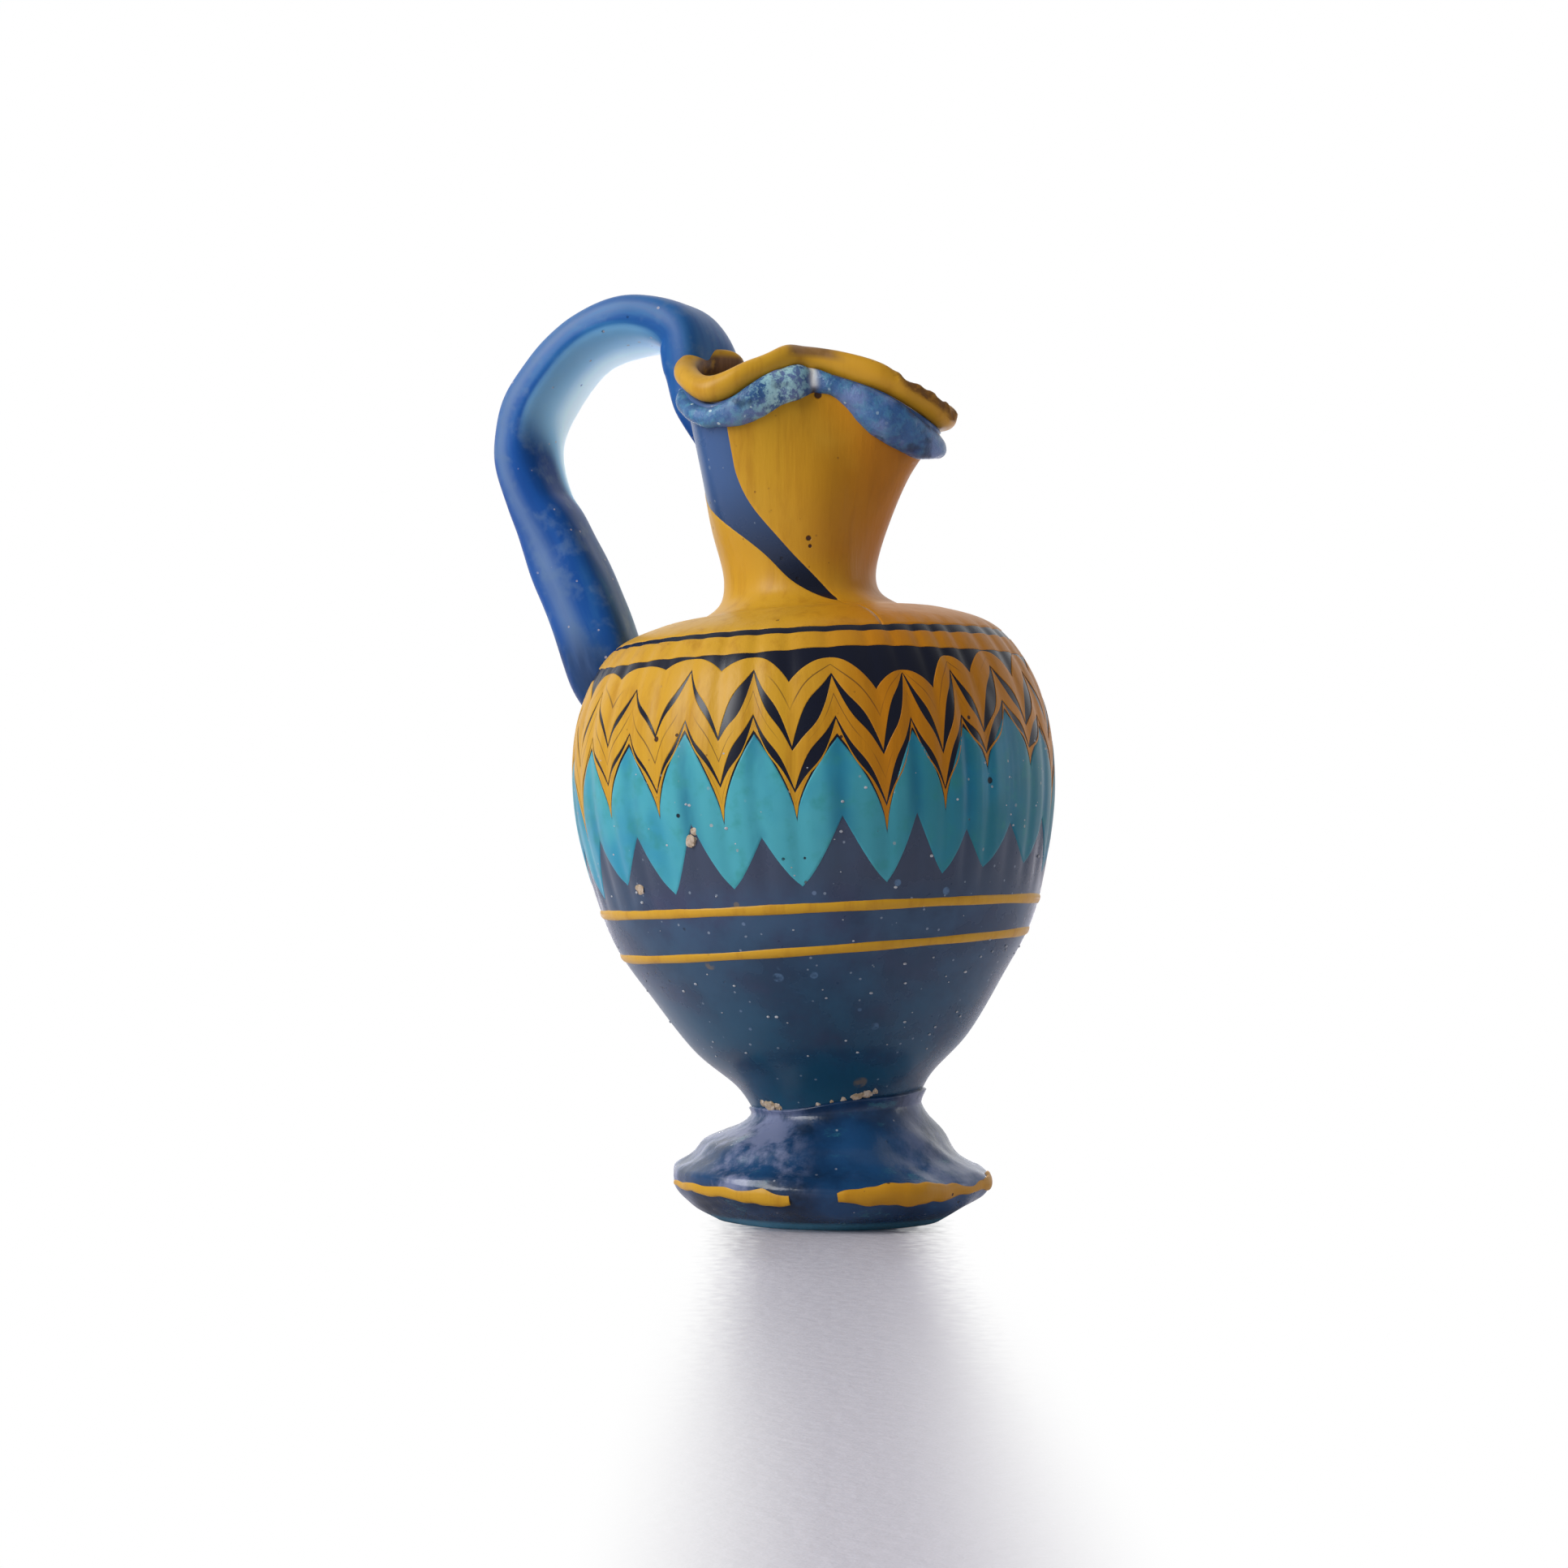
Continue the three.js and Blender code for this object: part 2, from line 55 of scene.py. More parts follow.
# The seed of the random waves that make shapes look worked by hand, so that each run makes the same ones.
WAVE_SEED = 5

# The body leans over the foot, around the middle of their joint.
FOOT_JOINT = Vector((0.5, 0.0, 12.8))
LEAN = math.radians(3.86)
BODY_PLACE = Matrix.Translation(FOOT_JOINT) @ Matrix.Rotation(-LEAN, 4, "Y")
FOOT_PLACE = Matrix.Identity(4)

# The outer surface of the body as radius and height above the joint, up to the neck.
BODY_PROFILE = (
    (9.9, 0.2), (11.8, 3.4), (16.4, 7.8), (20.8, 14.2), (25.2, 21.5), (28.0, 31.0), (29.0, 38.5),
    (28.4, 46.0), (26.2, 52.0), (22.8, 56.3), (17.5, 58.5), (11.4, 59.8), (9.3, 63.6),
)
BODY_ROWS = 170
INSIDE_ROWS = 40
FLOOR_HEIGHT = 4.5
SKIN_DEPTH = 0.14

# The grooves of the comb fade in and out between these heights, low down and on the shoulder.
COMBED_LOW = (23.0, 29.0)
COMBED_HIGH = (54.5, 57.5)

# How far a trail stands proud of the wall, and how far its edges roll down from there.
TRAIL_RISE = 0.06
TRAIL_ROLL = 0.14

# The trefoil mouth. Around the rim, by angle in degrees: its radius and height, and the height and
# thickness of the coil under it.
RIM = (
    (-128, 9, 89.2, 3, 2.6), (-104, 8.2, 90.3, 3, 2.6), (-84, 11.8, 89.7, 2.6, 2.6),
    (-64, 14, 87.6, 2.4, 2.6), (-42, 14.4, 85, 2.7, 2.7), (-18, 12, 86.9, 3.6, 2.7),
    (0, 9.8, 88.4, 3.1, 2.7), (16, 8.8, 88.5, 2.4, 2.7), (32, 10.4, 87.8, 2.6, 2.8),
    (50, 15, 85.2, 5.6, 3.8), (64, 18.2, 82.2, 4.6, 4), (76, 19.4, 80.6, 2.8, 3.4),
    (90, 18.4, 81, 2.8, 3.2), (112, 12.6, 85, 3.2, 2.8), (136, 9.2, 88.4, 3.4, 2.7),
    (166, 13.6, 86, 3.4, 2.7), (196, 15.2, 85.4, 3.2, 2.7), (214, 12.6, 87.4, 3, 2.6),
)
SPOUT_ANGLE = math.radians(76)
FUNNEL_HEIGHT = 74.0
FUNNEL_SPREAD = 0.36
LIP_THICKNESS = 3.4
LIP_DEPTH = 0.9
LIP_DROP = -0.15
COIL_TOP = 2.05
COIL_SEAT = 1.2
RIM_COLUMNS = 480
RIM_SIDES = 28

# Around the rim, an angle and how far to each side of it: where the coil is pinched in, where it is drawn
# up over the lip, and where it is palest. The coil is pinched by a depth, and drawn up by a height there
# while its upper edge rises by a part of that.
PINCH_ANGLE = math.radians(18)
PINCH_REACH = math.radians(5)
PINCH_DEPTH = 0.5
FULL_ANGLE = math.radians(0)
FULL_REACH = math.radians(30)
FULL_HEIGHT = 1.5
FULL_RISE = 1.2
PALE_ANGLE = math.radians(-3)
PALE_REACH = math.radians(15)

# Where the lip is chipped, beside the spout, how far to each side and how deep, and how far painted shade
# reaches to each side of the pinch.
CHIPPED_ANGLE = math.radians(66)
CHIPPED_REACH = math.radians(17)
CHIPPED_DEPTH = 0.45
RUBBED_REACH = math.radians(20)

# Angles of the comb's down strokes that the photograph shows, and how many more go round the back.
SEEN_STROKES = np.radians((-55.4, -38.5, -21.8, -5.0, 15.3, 29.9, 42.5, 60.0))
HIDDEN_STROKES = 14
STROKE_COLUMNS = 16

# Heights of the feather bands' edges: the usual ones at down and up strokes, and the ones that the
# photograph shows.
FEATHER_TOP = {
    "usual": (50.6, 52.6),
    "down": (52.0, 52.4, 51.5, 49.6, 48.2, 48.1, 49.8, 49.4),
    "up": (53.0, 53.2, 52.7, 52.1, 50.2, 51.8, 52.4),
}
FIRST_LINE = {
    "usual": (42.6, 50.4),
    "down": (44.1, 44.6, 43.6, 41.9, 40.9, 40.6, 42.8, 43.6),
    "up": (50.3, 51.8, 51.1, 50.1, 50.0, 50.0, 50.5),
}
SECOND_LINE = {
    "usual": (36.8, 45.0),
    "down": (39.7, 38.2, 38.4, 37.2, 35.1, 36.5, 40.4, 41.0),
    "up": (45.2, 45.9, 45.9, 45.1, 44.5, 44.6, 46.3),
}
YELLOW_BOTTOM = {
    "usual": (34.2, 44.0),
    "down": (35.9, 35.5, 34.3, 34.2, 32.2, 34.2, 38.8, 39.0),
    "up": (44.2, 45.0, 44.3, 43.3, 43.6, 43.8, 45.5),
}
TURQUOISE_BOTTOM = {
    "usual": (26.9, 33.0),
    "down": (27.9, 26.5, 26.7, 26.5, 26.4, 26.9, 27.2, 27.3),
    "up": (33.3, 34.2, 32.1, 34.0, 33.8, 31.6, 32.0),
}
SHOULDER_RING = (53.1, 55.2)
NECK_WRAP_LOW = 55.8
RING_FALL = 0.8
WRAP_FALL = 0.5
HAIRLINE = 0.22
THINNEST = 0.3

# The bare glass between two turns of the neck wrap: angle in degrees, height, half width in degrees.
NECK_SLIT = (
    (-66, 84, 30), (-64, 78, 28), (-60, 74.4, 25), (-42.5, 70.7, 14.5), (-18.6, 66.2, 9),
    (-0.5, 62.9, 8.5), (9.8, 61.3, 6), (21.5, 59.6, 0),
)
NECK_ROWS = 90
NECK_COLUMNS = 340

# The thread on the lower belly: turn and height; its thickness, and how deep its middle lies.
THREAD_ROUTE = ((-0.42, 25.2), (-0.25, 24.9), (0.25, 23.2), (0.75, 19.6), (1.25, 19.6), (1.55, 19.2))
THREAD_STEPS = 420
THREAD_THICKNESS = 0.62
THREAD_SINK = 0.12

# The handle from the rim over its arch to the shoulder: reach, height, width, thickness, twist in degrees.
HANDLE_ANGLE = math.radians(-106)
HANDLE_ROUTE = (
    (9.8, 81, 6, 3, -18), (10.7, 85.5, 10, 4.6, -18), (10.6, 90, 12, 6.4, -17), (12.2, 94.6, 12, 6.4, -6),
    (17.9, 96.1, 11.4, 6, 10), (24.2, 94.7, 11, 5.8, 14), (29.2, 90.7, 11, 5.8, 14),
    (32.4, 86.1, 11, 6, 13), (33.4, 81.5, 10.6, 6.1, 12), (32.4, 76.1, 10, 6.4, 8),
    (30.7, 71.9, 10, 7.8, 5), (28.4, 65.5, 10, 8.8, 2), (26.3, 59.2, 10, 9.4, 0), (24.8, 54, 10, 9.2, 0),
    (23.2, 50, 8, 8, 0),
)
HANDLE_ROWS = 240
HANDLE_SIDES = 64
HANDLE_SQUARENESS = 0.6
STRAND_STRETCH = 0.18
ROOT_DEPTH = 1.3

# How far over the wall the middle of a mark lies, and the heights between which pale grains lie.
MARK_RISE = 0.05
GRAIN_HEIGHTS = (6.0, 44.0)

# Pits in the glass, blue and brown spots on it, and crusts: angle in degrees, height and size across.
FEATHER_PITS = ((-32.1, 44.5, 0.35), (-38, 44.3, 0.6), (-34.7, 38.2, 0.45), (6, 42.9, 0.35))
NECK_PITS = ((7.1, 67.1, 0.6), (7.9, 66.2, 0.4), (21, 83.9, 0.9))
TURQUOISE_PITS = ((-33, 35.5, 0.45), (43, 37.2, 0.7), (150, 36, 0.6), (-160, 33, 0.5))
BLUE_SPOTS = (
    (-15, 16.6, 1.2), (-14, 17.7, 0.6), (-4.5, 16.6, 0.9), (15.5, 10.2, 1.0), (17.9, 26.4, 0.8),
    (31.4, 25.1, 0.9), (9.5, 12.3, 0.5), (-49.9, 19.7, 0.6), (120, 15, 1.0), (-150, 18, 1.2),
    (-140, 10, 0.7),
)
BROWN_SPOTS = ((-34.7, 18.5, 1.3), (-33.5, 19.4, 0.8), (-22, 25.1, 0.7), (14, 3.6, 1.6), (170, 22, 1.0))
CRUSTS = (
    (-30.7, 32.6, 1.5), (-29.6, 33.6, 0.9), (-50.3, 27.6, 1.2), (-7.3, 28.8, 0.5), (-49.2, 1.3, 1.7),
    (-42, 1.1, 1.2), (-55, 1.6, 1.0), (13, 1.9, 1.4), (19, 2.1, 1.2), (25, 2.3, 0.8), (4, 1.6, 0.8),
    (-3, 1.5, 0.6), (-12, 1.3, 0.7), (105, 2.6, 1.0), (160, 1.6, 1.3), (-120, 1.2, 0.9),
)

# The foot. Its upper edge is drawn up onto the body, higher on the spout's side, and it is fuller on the
# handle's side. Folds run down it: angle in degrees, degrees turned for each millimetre of height, width
# in degrees, and depth.
FOOT_PROFILE = (
    (13.6, 0), (17.3, 2.2), (19, 4.5), (18, 5.9), (15, 7.6), (12.9, 10.4), (11.4, 12.6), (11, 13.2),
)
FOOT_ROWS = 90
FOOT_COLUMNS = 240
FOOT_COLLAR_START = 9.0
FOOT_COLLAR = (13.0, 15.1)
FOOT_FULLER = 1.8
FOOT_FOLDS = (
    (64, -4.0, 7, 0.55), (40, -3.4, 6, -0.45), (22, -3.0, 7, 0.35), (-22, 2.6, 9, -0.25),
    (-52, 2.4, 10, 0.4), (-84, 2.0, 9, -0.35), (104, -3.0, 8, 0.4), (146, -2.4, 9, -0.35),
    (190, 2.4, 9, 0.4), (232, 2.8, 8, -0.35),
)

# The yellow trail in broken stretches on the foot's edge: ends in degrees, heights there, and its girth
# along it, as shares of a width and a thickness. Its middle lies under the surface by a share of its girth.
FOOT_TRAILS = (
    (-80, -16, 4.6, 4.2, (0.25, 0.45, 0.6, 0.7, 0.75, 0.85, 1.0, 0.75)),
    (1, 88, 4.3, 4.7, (0.55, 1.1, 1.25, 1.2, 0.95, 0.55, 0.65, 0.9, 0.7)),
    (112, 262, 4.2, 4.0, (0.3, 0.9, 1.1, 0.8, 0.5, 1.0, 1.2, 0.8, 0.4)),
)
FOOT_TRAIL_WIDTH = 2.0
FOOT_TRAIL_THICKNESS = 1.0
FOOT_TRAIL_SINK = 0.22

# The view of the photograph: how far the camera stands back, to the left and up, and its lens.
VIEW_BACK = 0.349
VIEW_ASIDE = -0.0057
VIEW_UP = 0.0404
VIEW_TILT = math.radians(1.82)
VIEW_LENS = 67.1

# The lamps: name, place, target, power, width, height, and whether gloss shows it.
LAMPS = (
    ("left lamp", (-0.55, -0.35, 0.45), (0, 0, 0.05), 4.8, 0.35, 0.5, True),
    ("right lamp", (0.55, 0.06, 0.12), (0, 0, 0.05), 0.36, 0.10, 0.4, True),
    ("back lamp", (0.0, 0.80, 0.24), (0, 0, 0.03), 11.0, 0.30, 0.12, False),
)

# The floor's strip of shade, in metres. To each side of the middle it is whole up to one distance and gone
# at another, beside the jug and well before it. It also ends behind the jug, and at its near end.
FLOOR_SIZE = 6.0
FLOOR_BESIDE = (0.0065, 0.0150)
FLOOR_BEFORE = (0.0010, 0.0185)
FLOOR_BEHIND = (0.045, 0.005)
FLOOR_END = (-0.27, -0.185)

# The white surround, by the level of its light: on the viewer's side, and behind the jug. It changes
# between two ways from the jug, where -1 is towards the viewer and 1 away.
FRONT_LEVEL = 0.26
BACK_LEVEL = 1.0
LEVEL_CHANGE = (-0.2, 0.9)


class JugSizes(bpy.types.PropertyGroup):
    wall: FloatProperty(
        name="Wall", description="Thickness of the body's wall",
        default=0.0032, min=0.002, max=0.005, unit="LENGTH", precision=4,
    )
    inlay: FloatProperty(
        name="Inlay", description="How deep a trail lies in the wall",
        default=0.0006, min=0.0003, max=0.0012, unit="LENGTH", precision=4,
    )
    flute: FloatProperty(
        name="Flute", description="Depth of the grooves that the comb left",
        default=0.00017, min=0.0, max=0.0006, unit="LENGTH", precision=5,
    )
    line: FloatProperty(
        name="Dark line", description="Height of the bare glass between two yellow trails",
        default=0.0030, min=0.0, max=0.004, unit="LENGTH", precision=4,
    )
    thread: FloatProperty(
        name="Thread", description="Width of the thread on the belly",
        default=0.0012, min=0.0006, max=0.003, unit="LENGTH", precision=4,
    )
    specks: IntProperty(
        name="Specks", description="Pale grains left on the surface", default=260, min=0, max=2000,
    )


class JugColours(bpy.types.PropertyGroup):
    cobalt: FloatVectorProperty(
        name="Cobalt", description="Body glass", subtype="COLOR", size=3, min=0, max=1,
        default=(0.020, 0.045, 0.095),
    )
    blue: FloatVectorProperty(
        name="Blue", description="Handle and rim coil", subtype="COLOR", size=3, min=0, max=1,
        default=(0.011, 0.080, 0.32),
    )
    yellow: FloatVectorProperty(
        name="Yellow", description="Yellow trails", subtype="COLOR", size=3, min=0, max=1,
        default=(0.60, 0.32, 0.020),
    )
    turquoise: FloatVectorProperty(
        name="Turquoise", description="Turquoise trail", subtype="COLOR", size=3, min=0, max=1,
        default=(0.070, 0.38, 0.45),
    )
    earth: FloatVectorProperty(
        name="Earth", description="Remains of the core and of soil", subtype="COLOR", size=3, min=0, max=1,
        default=(0.42, 0.30, 0.18),
    )
    floor: FloatVectorProperty(
        name="Floor", description="Table and backdrop", subtype="COLOR", size=3, min=0, max=1,
        default=(0.58, 0.56, 0.62),
    )


def sizes():
    return bpy.context.scene.jug_sizes


def colours():
    return bpy.context.scene.jug_colours


# Curves


def mix(low, high, share):
    return low + (high - low) * share


def smooth(share):
    share = np.clip(share, 0.0, 1.0)
    return share * share * (3 - 2 * share)


def rise(value, low, high):
    """0 below low, 1 above high and a smooth rise between."""
    return smooth((value - low) / (high - low))


def spline_weights(count, place):
    """The share of each of count stops in a smooth curve through them, at places from 0 to 1."""
    place = np.asarray(place, float) * (count - 1)
    stop = np.clip(np.floor(place).astype(int), 0, count - 2)
    t = place - stop
    shares = (
        -0.5 * t + t**2 - 0.5 * t**3,
        1 - 2.5 * t**2 + 1.5 * t**3,
        0.5 * t + 2 * t**2 - 1.5 * t**3,
        -0.5 * t**2 + 0.5 * t**3,
    )
    weights = np.zeros((count,) + place.shape)
    for offset, share in zip((-1, 0, 1, 2), shares):
        index = np.clip(stop + offset, 0, count - 1)
        for k in range(count):
            weights[k] += np.where(index == k, share, 0.0)
    return weights


def spline(stops, place):
    """A smooth curve through a tuple of stops, as one array for each of their numbers."""
    weights = spline_weights(len(stops), place)
    return [np.tensordot(np.array(column, float), weights, axes=1) for column in zip(*stops)]


def around(angle, radius, height):
    """Points at an angle around the axis: 0 is towards the viewer, growing to the right."""
    angle, radius, height = np.broadcast_arrays(angle, radius, height)
    return np.stack((radius * np.sin(angle), -radius * np.cos(angle), height), axis=-1)


def away(angle, middle):
    """How far angles are from one angle, by the shorter way round."""
    return np.mod(angle - middle + math.pi, TURN) - math.pi


def lobe_at(angle):
    return 0.5 + 0.5 * np.cos(3 * (angle - SPOUT_ANGLE))


def rim_at(angle):
    """The rim at angles, by smooth curves through its stops.

    Gives its radius and height, and the coil's height and thickness."""
    stops = np.array(RIM, float)
    lap = np.array((360.0, 0, 0, 0, 0))
    stops = np.concatenate((stops[-2:] - lap, stops, stops[:2] + lap))
    degrees = stops[:, 0]
    turned = np.mod(np.degrees(angle) - RIM[0][0], 360.0) + RIM[0][0]
    stop = np.searchsorted(degrees, turned, side="right") - 1
    step = degrees[stop + 1] - degrees[stop]
    t = (turned - degrees[stop]) / step
    found = []
    for values in stops.T[1:]:
        leaving = (values[stop + 1] - values[stop - 1]) / (degrees[stop + 1] - degrees[stop - 1]) * step
        arriving = (values[stop + 2] - values[stop]) / (degrees[stop + 2] - degrees[stop]) * step
        ends = values[stop] * (2 * t**3 - 3 * t**2 + 1) + values[stop + 1] * (3 * t**2 - 2 * t**3)
        found.append(ends + leaving * (t**3 - 2 * t**2 + t) + arriving * (t**3 - t**2))
    return found


def outline(angle, place):
    """Radius and height of the body's outer surface at places from the foot to the rim."""
    angle = np.asarray(angle, float)
    place = np.asarray(place, float)
    rim_radius, rim_height = rim_at(angle)[:2]
    funnel_radius = mix(BODY_PROFILE[-1][0] + 1.4, rim_radius, FUNNEL_SPREAD * lobe_at(angle))
    place = np.broadcast_to(place, np.broadcast(angle, place).shape)
    weights = spline_weights(len(BODY_PROFILE) + 2, place)
    radius = weights[-2] * funnel_radius + weights[-1] * rim_radius
    height = weights[-2] * FUNNEL_HEIGHT + weights[-1] * rim_height
    for weight, (stop_radius, stop_height) in zip(weights, BODY_PROFILE):
        radius = radius + weight * stop_radius
        height = height + weight * stop_height
    return radius, height


def place_at_height(angle, height):
    low = np.zeros(np.broadcast(angle, height).shape)
    high = np.ones_like(low)
    for _ in range(26):
        middle = (low + high) / 2
        below = outline(angle, middle)[1] < height
        low = np.where(below, middle, low)
        high = np.where(below, high, middle)
    return low


def place_below_rim(angle, distance):
    """The places a distance below the rim, measured along the wall."""
    places = np.linspace(1.0, 0.8, 120)
    radius, height = outline(angle[None, :], places[:, None])
    steps = np.hypot(np.diff(radius, axis=0), np.diff(height, axis=0))
    length = np.concatenate((np.zeros((1, angle.size)), np.cumsum(steps, axis=0)))
    distance = np.broadcast_to(distance, angle.shape)
    return np.array([np.interp(distance[i], length[:, i], places) for i in range(angle.size)])


def comb_strokes():
    """Angles of the down strokes all around, closed with the first one a turn later."""
    first, last = SEEN_STROKES[0], SEEN_STROKES[-1]
    step = (first + TURN - last) / (HIDDEN_STROKES + 1)
    wander = np.random.default_rng(7).uniform(-0.12, 0.12, HIDDEN_STROKES)
    hidden = last + step * (np.arange(1, HIDDEN_STROKES + 1) + wander)
    return np.concatenate((SEEN_STROKES, hidden, [first + TURN]))


def comb_columns(columns_per_leg):
    """Columns of points all around, laid out between the strokes of the comb.

    leg is +1 where the glass rises to the right of a down stroke and -1 where it falls to the next one.
    share is 0 at a down stroke and 1 at an up stroke; down and up number the strokes next to a column."""
    strokes = comb_strokes()
    count = len(strokes) - 1
    step = np.arange(columns_per_leg) / columns_per_leg
    parts = {"angle": [], "share": [], "leg": [], "down": [], "up": []}
    for i, (start, end) in enumerate(zip(strokes, strokes[1:])):
        middle = (start + end) / 2
        legs = ((1, start, middle, step, i), (-1, middle, end, 1 - step, i + 1))
        for leg, low, high, share, down in legs:
            parts["angle"].append(mix(low, high, step))
            parts["share"].append(share)
            parts["leg"].append(np.full(columns_per_leg, leg))
            parts["down"].append(np.full(columns_per_leg, down % count))
            parts["up"].append(np.full(columns_per_leg, i))
    return {key: np.concatenate(values) for key, values in parts.items()}


def edge_height(edge, comb, blend):
    """Heights of a feather band's edge, going from its down to its up strokes by a blend."""
    chance = np.random.default_rng(11)
    count = len(SEEN_STROKES) + HIDDEN_STROKES
    usual_down, usual_up = edge["usual"]
    down = np.append(edge["down"], usual_down + chance.uniform(-0.8, 0.8, count - len(edge["down"])))
    up = np.append(edge["up"], usual_up + chance.uniform(-0.5, 0.5, count - len(edge["up"])))
    return mix(down[comb["down"]], up[comb["up"]], blend)


def comb_phase(angle):
    """1 on a stroke of the comb, down or up, and 0 half-way between two strokes."""
    down = comb_strokes()
    closed = np.sort(np.concatenate((down, (down[1:] + down[:-1]) / 2)))
    turned = np.mod(angle - closed[0], TURN) + closed[0]
    return np.cos(math.pi * np.interp(turned, closed, np.arange(closed.size))) ** 2


def wall_point(angle, place, depth):
    """Points under the body's surface by a depth along its normal, with the grooves of the comb."""
    radius, height = outline(angle, place)
    near = 1e-3
    before = outline(angle, np.clip(place - near, 0, 1))
    after = outline(angle, np.clip(place + near, 0, 1))
    along_radius, along_height = after[0] - before[0], after[1] - before[1]
    length = np.hypot(along_radius, along_height)
    zone = rise(height, *COMBED_LOW) * (1 - rise(height, *COMBED_HIGH))
    groove = sizes().flute / MM * zone * comb_phase(angle) ** 2
    sway = 0.10 * (1 + np.sin(2 * angle + height / 17) * np.sin(height / 9)) * smooth((70 - height) / 10)
    depth = depth + SKIN_DEPTH + groove + sway
    return around(angle, radius - depth * along_height / length, height + depth * along_radius / length)


def surface_path(angle, place, depth):
    """Points of a path on the wall, with the way outwards at each."""
    points = wall_point(angle, place, depth)
    outward = wall_point(angle, place, depth - 1.0) - points
    return points, outward / np.linalg.norm(outward, axis=-1, keepdims=True)


# Meshes


def ring_quads(loops, columns, closed_rows=False):
    """Quads between loops of points around the jug, facing out when the loops go up."""
    rows = loops if closed_rows else loops - 1
    row, column = np.meshgrid(np.arange(rows), np.arange(columns), indexing="ij")
    next_row = (row + 1) % loops
    next_column = (column + 1) % columns
    corners = (row * columns + column, row * columns + next_column)
    upper = (next_row * columns + next_column, next_row * columns + column)
    return np.stack((*corners, *upper), axis=-1).reshape(-1, 4)


def cap_triangles(first, columns, centre, facing_up):
    """A fan from a centre point to a loop of points."""
    column = np.arange(columns)
    following = (column + 1) % columns
    order = (first + column, first + following) if facing_up else (first + following, first + column)
    return np.stack((*order, np.full(columns, centre)), axis=-1)


def capped(loops, start, end, turned=False):
    """Points and faces of loops closed with a fan at both ends; turned where the loops run the other way."""
    count, columns = loops.shape[:2]
    centre = count * columns
    quads = ring_quads(count, columns)
    faces = [
        quads[:, ::-1] if turned else quads,
        cap_triangles(0, columns, centre, facing_up=turned),
        cap_triangles(centre - columns, columns, centre + 1, facing_up=not turned),
    ]
    return np.concatenate((loops.reshape(-1, 3), [start, end])), faces


def placed(points, place):
    """Points in millimetres of a leaning or level part, as metres in the frame."""
    flat = np.asarray(points, float).reshape(-1, 3)
    return (flat @ np.array(place.to_3x3()).T + np.array(place.translation)) * MM


def new_mesh(name, points, place, edges=(), faces=()):
    """A mesh in the frame from points in millimetres."""
    mesh = bpy.data.meshes.new(name)
    mesh.from_pydata(placed(points, place).tolist(), list(edges), list(faces))
    return mesh


def hold(mesh, name, values):
    """Keeps a number or a direction at each point of a mesh."""
    values = np.asarray(values, np.float32)
    if values.shape == (len(mesh.vertices), 3):
        mesh.attributes.new(name, "FLOAT_VECTOR", "POINT").data.foreach_set("vector", values.ravel())
    else:
        mesh.attributes.new(name, "FLOAT", "POINT").data.foreach_set("value", values.ravel())


def new_object(name, data):
    thing = bpy.data.objects.new(name, data)
    bpy.context.collection.objects.link(thing)
    return thing


def settle(piece, nodes=()):
    """Joins a finished piece to the frame."""
    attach(piece, "root")
    if nodes:
        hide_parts(*nodes)


def make_piece(name, points, faces, material, nodes=(), place=BODY_PLACE, shades=None):
    """A piece of the jug from points in millimetres, with named values at its points."""
    mesh = new_mesh(name, points, place, faces=[face for part in faces for face in part.tolist()])
    for shade, values in (shades or {}).items():
        hold(mesh, shade, values)
    mesh.polygons.foreach_set("use_smooth", [True] * len(mesh.polygons))
    mesh.materials.append(material)
    mesh.update()
    piece = new_object(name, mesh)
    settle(piece, nodes)
    return piece


def edge_shares(count, edge):
    """Shares from 0 to 1, close together near both ends, where a trail rounds off."""
    inner = np.linspace(2 * edge, 1 - 2 * edge, count)
    return np.concatenate(((0.0, edge / 2, edge), inner, (1 - edge, 1 - edge / 2, 1.0)))


def edge_roll(shares, edge):
    """1 at both ends of the shares, falling to 0 at an edge's width from them."""
    return 1 - smooth(np.minimum(shares, 1 - shares) / edge)


def trail_shell(name, angle, low, high, rows, material, nodes, shades=None):
    """A trail pressed into the wall between two edges, slightly proud and rounded at its edges."""
    edge = 0.03
    shares = edge_shares(rows, edge)[:, None]
    place = mix(low, high, shares)
    outer = wall_point(angle, place, TRAIL_ROLL * edge_roll(shares, edge) - TRAIL_RISE)
    inner = wall_point(angle, place[[-1, 0]], sizes().inlay / MM)
    points = np.concatenate((outer, inner))
    loops, columns = points.shape[:2]
    across = np.concatenate((shares, [[1.0], [0.0]]))
    made = {"across": across, **(shades or {})}
    made = {shade: np.broadcast_to(values, (loops, columns)) for shade, values in made.items()}
    return make_piece(name, points, [ring_quads(loops, columns, True)], material, nodes, shades=made)


# Materials


class Value:
    """A socket's value in a shader, with the arithmetic that the finishes use."""

    def __init__(self, shader, socket):
        self.shader = shader
        self.socket = socket

    def maths(self, operation, *others):
        return self.shader.add("ShaderNodeMath", {"operation": operation}, [self, *others])

    def __add__(self, other):
        return self.maths("ADD", other)

    def __sub__(self, other):
        return self.maths("SUBTRACT", other)

    def __mul__(self, other):
        return self.maths("MULTIPLY", other)

    def __rsub__(self, other):
        return self.shader.add("ShaderNodeMath", {"operation": "SUBTRACT"}, [other, self])

    __radd__ = __add__
    __rmul__ = __mul__

    def over(self, low, high):
        """0 below low, 1 above high and a smooth rise between; falls where low is above high."""
        ends = (low, high, 0.0, 1.0) if low < high else (high, low, 1.0, 0.0)
        return self.shader.add("ShaderNodeMapRange", {"interpolation_type": "SMOOTHSTEP"}, [self, *ends])


